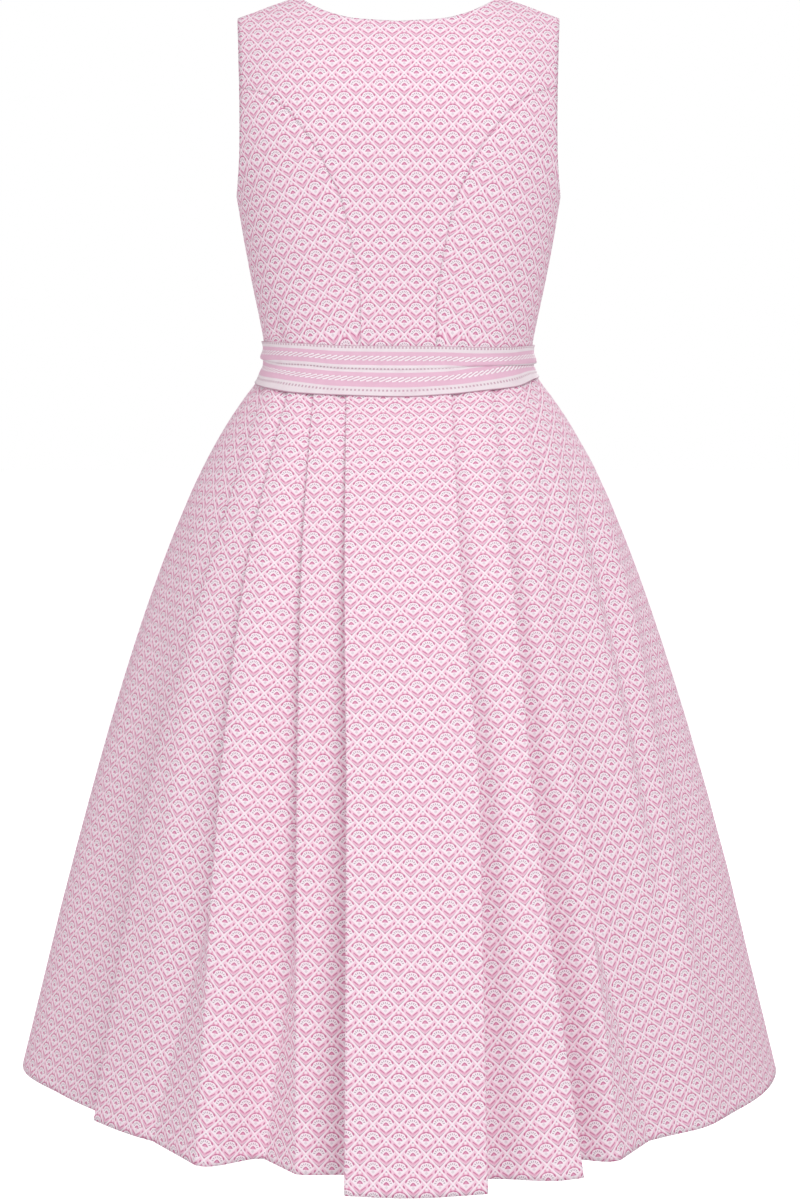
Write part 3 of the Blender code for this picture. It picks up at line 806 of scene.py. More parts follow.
def parts_of(tree, vector):
    """The three numbers of a vector."""
    split = tree.nodes.new("ShaderNodeSeparateXYZ")
    tree.links.new(vector, split.inputs["Vector"])
    return [Term(tree, part) for part in split.outputs]


def grain_terms(tree):
    """Real lengths across and down the cloth in millimetres."""
    uv = tree.nodes.new("ShaderNodeUVMap")
    uv.uv_map = "Grain"
    across, down, _ = parts_of(tree, uv.outputs["UV"])
    return across * 1000.0, down * 1000.0


def soft_noise(tree, scale, detail=2.0):
    """Noise about 0.5 over the object's own space."""
    space = tree.nodes.new("ShaderNodeTexCoord")
    texture = tree.nodes.new("ShaderNodeTexNoise")
    texture.inputs["Scale"].default_value = scale
    texture.inputs["Detail"].default_value = detail
    tree.links.new(space.outputs["Object"], texture.inputs["Vector"])
    return Term(tree, texture.outputs["Fac"])


def shader_of(name, roughness, sheen, specular=0.3):
    """Material with a plain cloth shader, its tree and the shader node."""
    finish = bpy.data.materials.new(name)
    finish.use_nodes = True
    tree = finish.node_tree
    shader = tree.nodes["Principled BSDF"]
    shader.inputs["Roughness"].default_value = roughness
    shader.inputs["Specular IOR Level"].default_value = specular
    shader.inputs["Sheen Weight"].default_value = sheen
    shader.inputs["Sheen Roughness"].default_value = 0.5
    return finish, tree, shader


def bumped(tree, shader, height, distance, strength=1.0):
    """Relief from a height in shares of a distance."""
    bump = tree.nodes.new("ShaderNodeBump")
    bump.inputs["Distance"].default_value = distance
    bump.inputs["Strength"].default_value = strength
    tree.links.new(height.socket, bump.inputs["Height"])
    tree.links.new(bump.outputs["Normal"], shader.inputs["Normal"])


# ------------------------------------------------------------------ printed cotton

# Parts of one motif, in millimetres from its middle: +x to either side, +y up
FAN_WIDE = 6.5
FAN_TALL = 5.9
FAN_RISE = 0.6
FAN_RADIUS = 6.2
FAN_INSET = 0.5
SCALLOPS = 7.35
SCALLOP_START = 2.18
RIM_THIN = 0.38
RIM_THICK = 0.75
PETALS = 13.3
PETAL_START = 3.14
PETAL_RING = 4.1
PETAL_HALF = 0.8
HEART_LOW = 2.7
HEART_HALF = 1.8
HEART_SHADE = 0.35
ARCH_LOW = 0.5
ARCH_FILL = 1.6
ARCH_LINE = 1.9
NOTCH_AT = (7.9, -1.7)
NOTCH_TURN = (0.93, 0.37)
NOTCH_HALF = (0.75, 1.5)
LATTICE_HALF = 0.72
FINE_EDGE = 0.35
SOFT_EDGE = 0.5

Chevron = namedtuple("Chevron", "slope low half_width edge reach")
WHITE_CHEVRON = Chevron(0.9, 4.9, 0.75, FINE_EDGE, 7.3)
FILL_CHEVRON = Chevron(0.79, 8.0, 0.7, 0.6, 5.4)
ROSE_CHEVRON = Chevron(0.74, 6.9, 0.5, FINE_EDGE, 5.0)
GREY_CHEVRON = Chevron(0.82, 10.1, 0.42, FINE_EDGE, 6.0)
CHEVRON_FILL_SHADE = 0.65
CHEVRON_TIP = 1.1
CHEVRON_TIP_FADE = 0.5

Spot = namedtuple("Spot", "x y wide tall size edge")
TIP_SPOT = Spot(0.0, -9.9, 1.0, 1.0, 0.7, 0.6)
CUP_SPOT = Spot(2.1, 7.7, 0.6, 1.3, 1.0, 0.4)
VASE_SPOT = Spot(0.0, 10.7, 0.6, 1.0, 1.0, 0.5)
DOT_SPOT = Spot(0.0, 8.7, 1.0, 1.0, 0.95, 0.4)

# Layers of the print from the ground up, with the settings' colour of each
PRINT_ORDER = (
    ("fan", "white"), ("rim", "rose"), ("petals", "grey"), ("heart", "grey"),
    ("arch_fill", "pink"), ("arch", "rose"), ("chevron_white", "white"),
    ("chevron_fill", "pink"), ("chevron_rose", "rose"), ("chevron_grey", "grey"),
    ("tip", "rose"), ("notch", "rose"), ("cup", "pink"), ("vase", "grey"),
    ("dot", "white"), ("lattice", "white"),
)
WRONG_SIDE_FADE = 0.55
WEAVE_STEP = 0.55
WEAVE_SHARE = 0.25
SLUB_SHARE = 1.2
BLUSH_START = 0.35
BLUSH_SHARE = 0.35
COTTON_RELIEF = 0.00035


def motif_place(u, v, wide, tall):
    """Place in the diamond of one motif: reach from its middle line, and height."""
    a = (u / wide + 0.5).fraction() - 0.5
    b = (v / tall + 0.5).fraction() - 0.5
    other = (abs(a) + abs(b)).above(0.5)
    a = a - a.sign() * other * 0.5
    b = b - b.sign() * other * 0.5
    return abs(a) * wide, b * (-tall)


def chevron(x, y, part):
    """Mask of one chevron, open upward."""
    line = (y - x * part.slope + part.low).stroke(part.half_width, part.edge)
    return line * x.inside(part.reach, SOFT_EDGE)


def spot(x, y, part):
    """Mask of one small oval."""
    reach = length_of((x - part.x) / part.wide, (y - part.y) / part.tall)
    return reach.inside(part.size, part.edge)


def print_layers(x, y, lattice):
    """Masks of the motif's parts: a scalloped fan over chevrons, in a lattice of white lines."""
    ring = (length_of(x / FAN_WIDE, (y - FAN_RISE) / FAN_TALL) - 1.0) * FAN_RADIUS
    turn = x.made("ARCTAN2", y - FAN_RISE)
    bead = (turn * SCALLOPS - SCALLOP_START).cosine().maximum(0.0)
    rim = ring.stroke(RIM_THIN, FINE_EDGE) + bead * ring.stroke(RIM_THICK, FINE_EDGE)
    petals = (turn * PETALS - PETAL_START).cosine().inside(-0.1, 0.6)
    petal_ring = (length_of(x, y) - PETAL_RING).stroke(PETAL_HALF, FINE_EDGE)
    low = y + ARCH_LOW
    arch = length_of(x, low) * 0.5 + (x + abs(low)) * 0.4
    cosine, sine = NOTCH_TURN
    notch_x, notch_y = x - NOTCH_AT[0], y - NOTCH_AT[1]
    notch_wide = (notch_x * cosine - notch_y * sine) / NOTCH_HALF[0]
    notch_tall = (notch_x * sine + notch_y * cosine) / NOTCH_HALF[1]
    tip_fade = x.inside(CHEVRON_TIP, SOFT_EDGE) * -CHEVRON_TIP_FADE + 1.0
    return {
        "fan": (ring + FAN_INSET).inside(0.0, FINE_EDGE) * (y - x * 0.9 + 5.2).above(0.0),
        "rim": rim.minimum(1.0) * y.above(0.5),
        "petals": petals * petal_ring * y.above(0.6),
        "heart": (x + abs(y + HEART_LOW)).inside(HEART_HALF, 0.6) * HEART_SHADE,
        "arch_fill": arch.inside(ARCH_FILL, SOFT_EDGE) * low.above(-0.3),
        "arch": (arch - ARCH_LINE).stroke(0.5, FINE_EDGE) * low.above(-0.2),
        "chevron_white": chevron(x, y, WHITE_CHEVRON),
        "chevron_fill": chevron(x, y, FILL_CHEVRON) * CHEVRON_FILL_SHADE,
        "chevron_rose": chevron(x, y, ROSE_CHEVRON) * tip_fade,
        "chevron_grey": chevron(x, y, GREY_CHEVRON),
        "tip": spot(x, y, TIP_SPOT),
        "notch": length_of(notch_wide, notch_tall).inside(1.0, 0.4),
        "cup": spot(x, y, CUP_SPOT),
        "vase": spot(x, y, VASE_SPOT),
        "dot": spot(x, y, DOT_SPOT),
        "lattice": lattice.inside(LATTICE_HALF, FINE_EDGE),
    }


def printed_cotton(name, settings, fade):
    """Cotton with a small traditional print, paler on its wrong side."""
    finish, tree, shader = shader_of(name, 1.0, 0.0, 0.0)
    u, v = grain_terms(tree)
    wide, tall = settings.repeat_width / MM, settings.repeat_height / MM
    x, y = motif_place(u + settings.print_across / MM, v + settings.print_down / MM, wide, tall)
    steep = math.hypot(wide, tall)
    lattice = (x * (-tall / steep)) + abs(y) * (-wide / steep) + wide * tall / (2 * steep)
    layers = print_layers(x, y, lattice)
    colour = settings.blush
    for layer, tint in PRINT_ORDER:
        colour = painted(tree, colour, getattr(settings, tint), layers[layer])
    uneven = soft_noise(tree, 60.0, 3.0)
    colour = painted(tree, colour, settings.blush, (uneven - BLUSH_START) * BLUSH_SHARE)
    if fade:
        colour = painted(tree, colour, settings.white, fade)
    tree.links.new(colour, shader.inputs["Base Color"])
    weave = (u * (2 * math.pi / WEAVE_STEP)).sine() * (v * (2 * math.pi / WEAVE_STEP)).sine()
    bumped(tree, shader, weave * WEAVE_SHARE + uneven * SLUB_SHARE, COTTON_RELIEF, 0.35)
    return finish


# ------------------------------------------------------------------ woven ribbon

# Woven lines of the ribbon, in millimetres from its top edge; the two thin shade lines at the very
# edges are painted shade of the ribbon's edges
Stripe = namedtuple("Stripe", "at half_width edge tint")
STRIPES = (
    Stripe(23.4, 3.9, 0.4, "white"),
    Stripe(46.2, 4.6, 0.4, "white"),
    Stripe(2.6, 3.4, 0.4, "white"),
    # Painted shade: thin darker lines along the top and bottom edges of the ribbon
    Stripe(0.1, 0.45, 0.3, "shade"),
    Stripe(50.9, 0.35, 0.3, "shade"),
)
DOT_ROWS = (1.8, 23.4, DOTS_AT)
DOT_STEP = 3.5
DOT_ROW_HALF = 1.0
DOT_SHARE = 0.24
ROPE_STEP = 5.9
ROPE_SWING = 1.9
ROPE_THREAD = 0.68
# Half width of the painted shade round each rope line
ROPE_SHADE_REACH = 2.1
ROPE_KEPT = 0.92
RIB_STEP = 0.6
RIBBON_RELIEF = 0.0004


def rope_line(across, beat):
    """Mask of a rope: leaning strands that each pass under the next one."""
    rope = None
    for shift, keep in ((0.0, beat.below(ROPE_KEPT)), (1.0, beat.above(1 - ROPE_KEPT))):
        swing = ((beat - shift) * (math.pi / (2 * ROPE_KEPT))).sine() * ROPE_SWING
        strand = (across + swing).stroke(ROPE_THREAD, FINE_EDGE) * keep
        rope = strand if rope is None else rope.maximum(strand)
    return rope


def woven_ribbon(name, settings):
    """Ribbon with rope lines on pink bands and rows of dots on white stripes, with painted shade
    along both edges and round the rope lines.
    """
    finish, tree, shader = shader_of(name, 0.6, 0.05, 0.3)
    u, v = grain_terms(tree)
    colour = settings.pink
    # Woven white stripes, then painted shade along both edges of the ribbon
    for stripe in STRIPES:
        mask = (v - stripe.at).stroke(stripe.half_width, stripe.edge)
        colour = painted(tree, colour, getattr(settings, stripe.tint), mask)
    uneven = soft_noise(tree, 90.0)
    relief = uneven * 0.5
    for centre in DOT_ROWS:
        row = (v - centre).stroke(DOT_ROW_HALF, 0.3)
        dots = row * ((u / DOT_STEP).fraction() - 0.5).stroke(DOT_SHARE, 0.1)
        every_other = (u / (2 * DOT_STEP)).fraction().above(0.5)
        colour = painted(tree, colour, settings.grey, dots)
        colour = painted(tree, colour, settings.shade, dots * every_other * 0.7)
        relief = relief + row * 0.5 - dots * 0.5
    for centre in (ROPE_AT, ROPE_2_AT):
        rope = rope_line(v - centre, (u / ROPE_STEP).fraction())
        # Painted shade: a darker pink band under and beside the raised rope strands
        rope_shade = (v - centre).stroke(ROPE_SHADE_REACH, 0.8) * 0.55
        colour = painted(tree, colour, settings.shade, rope_shade)
        colour = painted(tree, colour, settings.rope, rope)
        relief = relief + rope * 0.8
    colour = painted(tree, colour, settings.shade, (uneven - 0.45) * 0.5)
    tree.links.new(colour, shader.inputs["Base Color"])
    ribs = (u * (2 * math.pi / RIB_STEP)).sine() * 0.12
    bumped(tree, shader, relief + ribs, RIBBON_RELIEF, 0.5)
    return finish


BUTTON_WEAVE = 0.0005
THREAD_RELIEF = 0.0002


def covered_cloth(name, settings):
    """Plain pink cloth of the covered buttons, with a fine weave."""
    finish, tree, shader = shader_of(name, 0.7, 0.3)
    uneven = soft_noise(tree, 500.0, 3.0)
    colour = painted(tree, settings.colour, settings.shade, uneven * 0.5)
    tree.links.new(colour, shader.inputs["Base Color"])
    space = tree.nodes.new("ShaderNodeTexCoord")
    across, _, up = parts_of(tree, space.outputs["Object"])
    threads = 2 * math.pi / BUTTON_WEAVE
    weave = (across * threads).sine() * (up * threads).sine()
    bumped(tree, shader, weave * 0.4 + uneven, THREAD_RELIEF, 0.6)
    return finish


def sewing_thread(name, settings):
    """Thread of the stitches and buttonholes."""
    finish, tree, shader = shader_of(name, 0.6, 0.3)
    twist = soft_noise(tree, 900.0)
    colour = painted(tree, settings.colour, settings.thread, twist)
    tree.links.new(colour, shader.inputs["Base Color"])
    bumped(tree, shader, twist, THREAD_RELIEF, 0.5)
    return finish


def studio_paper(name, colour):
    """Pale paper of the floor, lit from beneath like a light table."""
    finish, tree, shader = shader_of(name, 0.9, 0.0, 0.1)
    shader.inputs["Emission Color"].default_value = (1.0, 1.0, 1.0, 1.0)
    shader.inputs["Emission Strength"].default_value = FLOOR_GLOW
    tone = soft_noise(tree, 3.0)
    pale = tuple(min(value * 1.01, 1.0) for value in colour)
    tree.links.new(painted(tree, colour, pale, tone), shader.inputs["Base Color"])
    return finish


# ------------------------------------------------------------------ settings

def length_setting(label, text, default):
    """Property for a length in metres."""
    return bpy.props.FloatProperty(
        name=label, description=text, default=default, min=0.0, max=0.1, unit="LENGTH", precision=4
    )


def colour_setting(label, text, default):
    """Property for a colour."""
    return bpy.props.FloatVectorProperty(
        name=label, description=text, default=default, size=3, min=0.0, max=1.0, subtype="COLOR"
    )


def power_setting(label, text, default):
    """Property for a lamp's power in watts."""
    return bpy.props.FloatProperty(
        name=label, description=text, default=default, min=0.0, unit="POWER"
    )


class ClothSettings(bpy.types.PropertyGroup):
    """Printed cotton of the bodice and the skirt."""

    thickness: length_setting("Cloth", "Thickness of the cotton", 0.0011)
    repeat_width: length_setting("Repeat width", "Width of one repeat of the print", 0.0227)
    repeat_height: length_setting("Repeat height", "Height of one repeat of the print", 0.0246)
    print_across: length_setting("Print across", "Shift of the print sideways", 0.0058)
    print_down: length_setting("Print down", "Shift of the print downward", 0.0)
    white: colour_setting("White", "White lines of the print", (0.94, 0.86, 0.905))
    blush: colour_setting("Blush", "Pale pink ground of the print", (0.89, 0.62, 0.735))
    pink: colour_setting("Pink", "Middle pink of the print", (0.76, 0.36, 0.52))
    rose: colour_setting("Rose", "Darkest pink of the print", (0.57, 0.165, 0.315))
    grey: colour_setting("Grey", "Fine grey lines of the print", (0.48, 0.385, 0.45))


class RibbonSettings(bpy.types.PropertyGroup):
    """Woven ribbon of the sash."""

    thickness: length_setting("Ribbon", "Thickness of the ribbon", 0.001)
    white: colour_setting("White", "Off-white stripes", (0.83, 0.765, 0.795))
    rope: colour_setting("Rope", "White threads of the rope lines", (0.95, 0.91, 0.93))
    pink: colour_setting("Pink", "Pink bands", (0.775, 0.50, 0.63))
    # Darker pink: real darker threads of the dots and the uneven tone, and also painted shade along
    # the ribbon's edges and round its rope lines
    shade: colour_setting("Shade", "Darker pink threads", (0.60, 0.37, 0.47))
    grey: colour_setting("Grey", "Greyish threads of the dots", (0.56, 0.42, 0.48))


class ButtonSettings(bpy.types.PropertyGroup):
    """Covered buttons and thread."""

    radius: length_setting("Radius", "Radius of a button", 0.0059)
    dome: length_setting("Dome", "Height of a button", 0.0026)
    colour: colour_setting("Colour", "Cloth of the buttons", (0.66, 0.36, 0.48))
    shade: colour_setting("Shade", "Shaded threads of that cloth", (0.56, 0.27, 0.39))
    thread: colour_setting("Thread", "Lighter ply of the thread", (0.80, 0.52, 0.64))


class StageSettings(bpy.types.PropertyGroup):
    """Floor and light of the studio."""

    floor: colour_setting("Floor", "Colour of the floor", (0.97, 0.97, 0.97))
    air: colour_setting("Air", "Tint of the even light", (1.0, 0.93, 0.965))
    daylight: bpy.props.FloatProperty(
        name="Daylight", description="Strength of the even light", default=0.6, min=0.0, max=1.0
    )
    key: power_setting("Key light", "Power of the large key light", 57.0)
    fill: power_setting("Fill light", "Power of the soft fill light", 22.0)
    front: power_setting("Front light", "Power of the light on the dirndl's front", 52.0)


SETTINGS = {
    "dirndl_cloth": ClothSettings,
    "dirndl_ribbon": RibbonSettings,
    "dirndl_buttons": ButtonSettings,
    "dirndl_stage": StageSettings,
}


FINISHES = {
    "print_right_side": lambda name, scene: printed_cotton(name, scene.dirndl_cloth, 0.0),
    "print_wrong_side":
        lambda name, scene: printed_cotton(name, scene.dirndl_cloth, WRONG_SIDE_FADE),
    "ribbon_weave": lambda name, scene: woven_ribbon(name, scene.dirndl_ribbon),
    "covered_cloth": lambda name, scene: covered_cloth(name, scene.dirndl_buttons),
    "sewing_thread": lambda name, scene: sewing_thread(name, scene.dirndl_buttons),
}


def finished(name):
    """Material by name, made once."""
    if name not in bpy.data.materials:
        FINISHES[name](name, bpy.context.scene)
    return bpy.data.materials[name]


# ------------------------------------------------------------------ bodice pieces

SEAM_GROOVE = 0.35
SEAM_REACH = 1.8
PUCKER = 0.1
PUCKER_LENGTH = 9.0
PUCKER_REACH = 9.0
PUCKER_DRIFT = 23.0
BACK_GRAIN_INSET = 44.0
FRONT_GRAIN_INSET = 48.0
FRONT_GRAIN_X = 22.8
UV_STEPS = 33


def seam_relief(distance, length, seed):
    """Valley along a seam, with the slight puckers that its stitches pull."""
    wobble = noise.noise(Vector((length / PUCKER_DRIFT, seed, 3.0)))
    pucker = PUCKER * math.sin(2 * math.pi * (length / PUCKER_LENGTH + wobble))
    pucker *= math.exp(-((distance / PUCKER_REACH) ** 2))
    return pucker - SEAM_GROOVE * math.exp(-((distance / SEAM_REACH) ** 2))


def bodice_uv(side, x, z, grain):
    """Real lengths across and down a bodice panel, measured from its grain line."""
    def line(height):
        return grain(height), torso_y(side, grain(height), height)

    run = np.stack(line(FORM_Z) + (FORM_Z,), axis=1)[::-1]
    down = np.concatenate([[0.0], np.cumsum(np.linalg.norm(np.diff(run, axis=0), axis=1))])
    ahead, behind = line(z - 1.0), line(z + 1.0)
    fall = np.stack([ahead[0] - behind[0], ahead[1] - behind[1], np.full(z.shape, -2.0)])
    fall /= np.linalg.norm(fall, axis=0)
    start = grain(z)
    slope = torso_y(side, start + 1.0, z) - torso_y(side, start - 1.0, z)
    lean = (2.0 * fall[0] + slope * fall[1]) / np.hypot(2.0, slope)
    shares = np.linspace(0.0, 1.0, UV_STEPS)
    reach = start[..., None] + (x - start)[..., None] * shares
    depth = torso_y(side, reach, np.repeat(z[..., None], UV_STEPS, axis=2))
    steps = np.hypot(np.diff(reach, axis=2), np.diff(depth, axis=2))
    across = steps.sum(axis=2) * np.sign(x - start)
    length = np.interp(-z, -FORM_Z[::-1], down)
    return across * np.sqrt(1 - lean * lean), length + across * lean


def bodice_piece(node, side, sheet, grain, seams, seam_rows):
    """Bodice panel from its flat places: relief, grain and thickness."""
    name = "dirndl_" + node
    creases = BACK_BODICE_CREASES if side < 0 else FRONT_BODICE_CREASES
    places = np.array(sheet)
    x, z = places[..., 0], places[..., 1]
    inset = places[..., 2] if places.shape[2] > 2 else 0.0
    points = np.stack([x, torso_y(side, x, z) - side * inset, z], axis=2)
    rows, columns = points.shape[:2]
    normals = normals_of(points)
    if np.sum(normals[:, :, 1]) * side < 0:
        normals = -normals
    across = lengths_across(points)
    seed = float(len(name))
    for row in range(rows):
        for col in range(columns):
            place = places[row, col, :2]
            height = crease_height(creases, *place) + ripple(*place, seed)
            reach = {"left": across[row, col], "right": across[row, -1] - across[row, col]}
            if row < seam_rows:
                height += seam_relief(min(reach[seam] for seam in seams), -place[1], seed)
            if row in (0, rows - 1) or col in (0, columns - 1):
                height = min(height, 0.0)
            points[row, col] += normals[row, col] * height
    u, v = bodice_uv(side, x, z, grain)
    materials = [finished("print_right_side"), finished("print_wrong_side")]
    thickness = bpy.context.scene.dirndl_cloth.thickness
    uv = grid_uv(u[::-1], v[::-1])
    panel = cloth_piece(name, points[::-1], uv, materials, thickness, side > 0)
    return dress_node(panel, node)


CENTRE_ROWS_SEAM = 64
CENTRE_ROWS_ARMHOLE = 40
CENTRE_COLUMNS = 75
LAP_ROW = 46
LAP_SHARE = SEAM_SHARE * LAP_ROW / (CENTRE_ROWS_SEAM - 1)
BOTH_SEAMS = ("left", "right")
SIDES = (("left", -1), ("right", 1))
SIDE_ROWS = 64
SIDE_COLUMNS = 34


def close_top(sheet):
    """Bring the shoulder part of a top row onto the shoulder seam."""
    for number, place in enumerate(sheet[-1]):
        if abs(place[0]) > NECK_POINT_X - 1:
            sheet[-1][number] = (place[0], float(shoulder_line(place[0])) - 0.02) + tuple(place[2:])


def back_centre_sheet():
    """Flat places of the centre back."""
    def right(v):
        return joined(BACK_PRINCESS, BACK_ARMHOLE, v, SEAM_SHARE, -SEAM_GAP / 2)

    def left(v):
        x, z = right(v)
        return -x, z

    def bottom(u):
        return (2 * u - 1) * right(0)[0], WAIST_Z

    def top(u):
        x, z = joined(BACK_NECKLINE, SHOULDER_SEAM, abs(2 * u - 1), NECKLINE_SHARE)
        return math.copysign(min(x, right(1)[0]), u - 0.5), z

    rows = [SEAM_SHARE * share for share in stations(CENTRE_ROWS_SEAM)]
    rows += stations(CENTRE_ROWS_ARMHOLE + 1, SEAM_SHARE, 1.0)[1:]
    sheet = [
        [tuple(patch(bottom, top, left, right, u, v)) for u in stations(CENTRE_COLUMNS)]
        for v in rows
    ]
    close_top(sheet)
    return sheet


def side_sheet(face, sign, princess, underarm):
    """Flat places of a side panel."""
    half_gap = (SEAM_GAP if face < 0 else BUST_SEAM_GAP) / 2
    armpit = underarm[-1].z

    def in_angle(point):
        return to_angle(point[0], point[1]), point[1]

    def seam(v):
        return in_angle(beside(princess, v, half_gap))

    def side(v):
        z = WAIST_Z + v * (armpit - WAIST_Z)
        trim = math.degrees(SEAM_GAP / 2 / form_at(z, "back" if face < 0 else "front"))
        return 90.0 - trim, z

    def bottom(u):
        return seam(0)[0] + (side(0)[0] - seam(0)[0]) * u, WAIST_Z

    def top(u):
        degrees, z = in_angle(polyline(underarm, u))
        fix_start = seam(1)[0] - in_angle(polyline(underarm, 0))[0]
        fix_end = side(1)[0] - in_angle(polyline(underarm, 1))[0]
        return degrees + fix_start * (1 - u) + fix_end * u, z

    sheet = []
    for v in stations(SIDE_ROWS):
        row = []
        for u in stations(SIDE_COLUMNS):
            degrees, z = patch(bottom, top, seam, side, u, v)
            row.append((sign * from_angle(degrees, z), z))
        sheet.append(row if sign > 0 else row[::-1])
    return sheet


def front_sheet(sign):
    """Flat places of a centre front, with how far its lap lies beneath."""
    beneath = CLOTH + LAP_GAP if sign < 0 else 0.0
    lap_top = FRONT_NECKLINE[0].z
    neckline = (Edge(-LAP_HALF, lap_top),) + FRONT_NECKLINE

    def right(v):
        return joined(FRONT_PRINCESS, FRONT_ARMHOLE, v, SEAM_SHARE, -BUST_SEAM_GAP / 2)

    def left(v):
        if v <= LAP_SHARE:
            return -LAP_HALF, WAIST_Z + v / LAP_SHARE * (lap_top - WAIST_Z)
        return polyline(neckline, (v - LAP_SHARE) / (1 - LAP_SHARE))

    rows = [SEAM_SHARE * share for share in stations(CENTRE_ROWS_SEAM)]
    rows += stations(CENTRE_ROWS_ARMHOLE + 1, SEAM_SHARE, 1.0)[1:]
    sheet = []
    for v in rows:
        start, end = left(v), right(v)
        row = []
        for u in stations(CENTRE_COLUMNS):
            x = start[0] + (end[0] - start[0]) * u
            z = start[1] + (end[1] - start[1]) * u
            row.append((sign * x, z, beneath * ease((LAP_NEAR - x) / LAP_RAMP)))
        sheet.append(row if sign > 0 else row[::-1])
    close_top(sheet)
    return sheet


def grain_line(sign, inward):
    """Grain of a side panel, which keeps its distance from the side seam."""
    def grain(z):
        return sign * (form_at(z, "half_width") - inward)
    return grain


def plumb_line(x):
    """Grain of a centre panel, straight down."""
    def grain(z):
        return np.full(np.shape(z), x)
    return grain


class DIRNDL_OT_bodice(bpy.types.Operator):
    """Make the seven panels of the bodice"""

    bl_idname = "dirndl.bodice"
    bl_label = "Bodice"

    def execute(self, context):
        centre = bodice_piece(
            "back_centre", -1, back_centre_sheet(), plumb_line(0.0), BOTH_SEAMS, CENTRE_ROWS_SEAM
        )
        for word, sign in SIDES:
            back = bodice_piece(
                "side_back_" + word, -1, side_sheet(-1, sign, BACK_PRINCESS, BACK_UNDERARM),
                grain_line(sign, BACK_GRAIN_INSET), BOTH_SEAMS, SIDE_ROWS,
            )
            side = bodice_piece(
                "side_front_" + word, 1, side_sheet(1, sign, FRONT_PRINCESS, FRONT_UNDERARM),
                grain_line(sign, FRONT_GRAIN_INSET), BOTH_SEAMS, SIDE_ROWS,
            )
            front = bodice_piece(
                "front_" + word, 1, front_sheet(sign), plumb_line(sign * FRONT_GRAIN_X),
                (word,), CENTRE_ROWS_SEAM,
            )
        return {"FINISHED"}


# ------------------------------------------------------------------ skirt pieces

def skirt_relief(section, degrees, x, waves, creases, seed):
    """Height of waves, creases and ripple of the skirt at a place."""
    fade = ease(section.opened * 5) * ease((90 - abs(degrees)) / 3)
    fine = crease_height(creases, x, section.z) + SKIRT_RIPPLE * ripple(x, section.z, seed)
    return wave_height(waves, section, degrees) + fade * fine


def skirt_points(side, pleats, waves, creases, seed):
    """Grid of the skirt's points from the waist down to the hem, in millimetres."""
    rows = []
    for z in stations(SKIRT_ROWS, SKIRT_TOP_Z, HEM_Z):
        section = Section(side, z)
        row = []
        for degrees, out in skirt_row(section, pleats):
            x = section.half_width * math.sin(math.radians(degrees))
            height = out + skirt_relief(section, degrees, x, waves, creases, seed)
            row.append(tuple(section.point(degrees, height)))
        rows.append(row)
    return np.array(rows)


def skirt_piece(node, side, pleats, waves, creases, seed):
    """Pleated half of the skirt."""
    points = skirt_points(side, pleats, waves, creases, seed)
    starts, middles = skirt_panels(pleats)
    uv = panel_uv(points, starts, middles)
    materials = [finished("print_right_side"), finished("print_wrong_side")]
    thickness = bpy.context.scene.dirndl_cloth.thickness
    half = cloth_piece("dirndl_" + node, points, uv, materials, thickness, side > 0)
    dress_node(half, node)


class DIRNDL_OT_skirt(bpy.types.Operator):
    """Make the pleated back and front of the skirt"""

    bl_idname = "dirndl.skirt"
    bl_label = "Skirt"

    def execute(self, context):
        skirt_piece(
            "skirt_back", -1, BACK_PLEATS, BACK_WAVES, BACK_SKIRT_CREASES, BACK_SKIRT_SEED
        )
        skirt_piece(
            "skirt_front", 1, FRONT_PLEATS, FRONT_WAVES, FRONT_SKIRT_CREASES, FRONT_SKIRT_SEED
        )
        return {"FINISHED"}


# ------------------------------------------------------------------ sash pieces

TUCK_STEP = 2.2
TUCK_RIBBON = 5.0
UPPER_ROWS = 11
LOWER_ROWS = 15
SASH_OUT = CLOTH + SASH_GAP + 0.35
SASH_SWELL = 0.25
SASH_PINCHES = ((-84.0, 1.0), (78.0, -1.0))
PINCH_SPREAD = 16.0
PINCH_DEPTH = 0.5


def sash_profile(band):
    """Rows of the ribbon at an angle: height, place on the ribbon and how far it stands out."""
    heights = [band.top, band.rope, band.tuck, band.rope_2, band.dots, band.bottom]
    fold = min(max((band.below - band.above) / TUCK_RIBBON, 0.0), 1.0)
    rows = []
    for share in stations(UPPER_ROWS):
        z = band.top + (band.tuck - band.top) * share
        v = along([band.tuck, band.rope, band.top], [band.above, ROPE_AT, 0.0], z)
        lift = TUCK_STEP * fold * ease((share - 0.45) / 0.5)
        rows.append((z, v, lift))
    rows.append((band.tuck - 0.25 * fold, band.above + 0.5, 0.5 * TUCK_STEP * fold))
    rows.append((band.tuck + 0.5 * fold, band.below - 0.8, -0.1 * fold))
    start = band.tuck - 0.4 - 0.3 * fold
    for share in stations(LOWER_ROWS):
        z = start + (band.bottom - start) * share
        keys = heights[:2:-1] + [band.tuck]
        v = along(keys, [RIBBON_WIDTH, DOTS_AT, ROPE_2_AT, band.below], z)
        rows.append((z, v, 0.35 * fold * math.sin(math.pi * min(share * 1.4, 1.0))))
    return rows


def sash_relief(around, v):
    """Slight waves of the ribbon, and creases where it is pinched near the sides."""
    swell = SASH_SWELL * math.sin(v / RIBBON_WIDTH * 3 * math.pi + around / 23.0)
    side_creases = 0.0
    for middle, sign in SASH_PINCHES:
        near = math.exp(-(((around - middle) / PINCH_SPREAD) ** 2))
        side_creases += near * PINCH_DEPTH * math.sin(v / 3.4 + sign * around / 9.0)
    return swell + side_creases


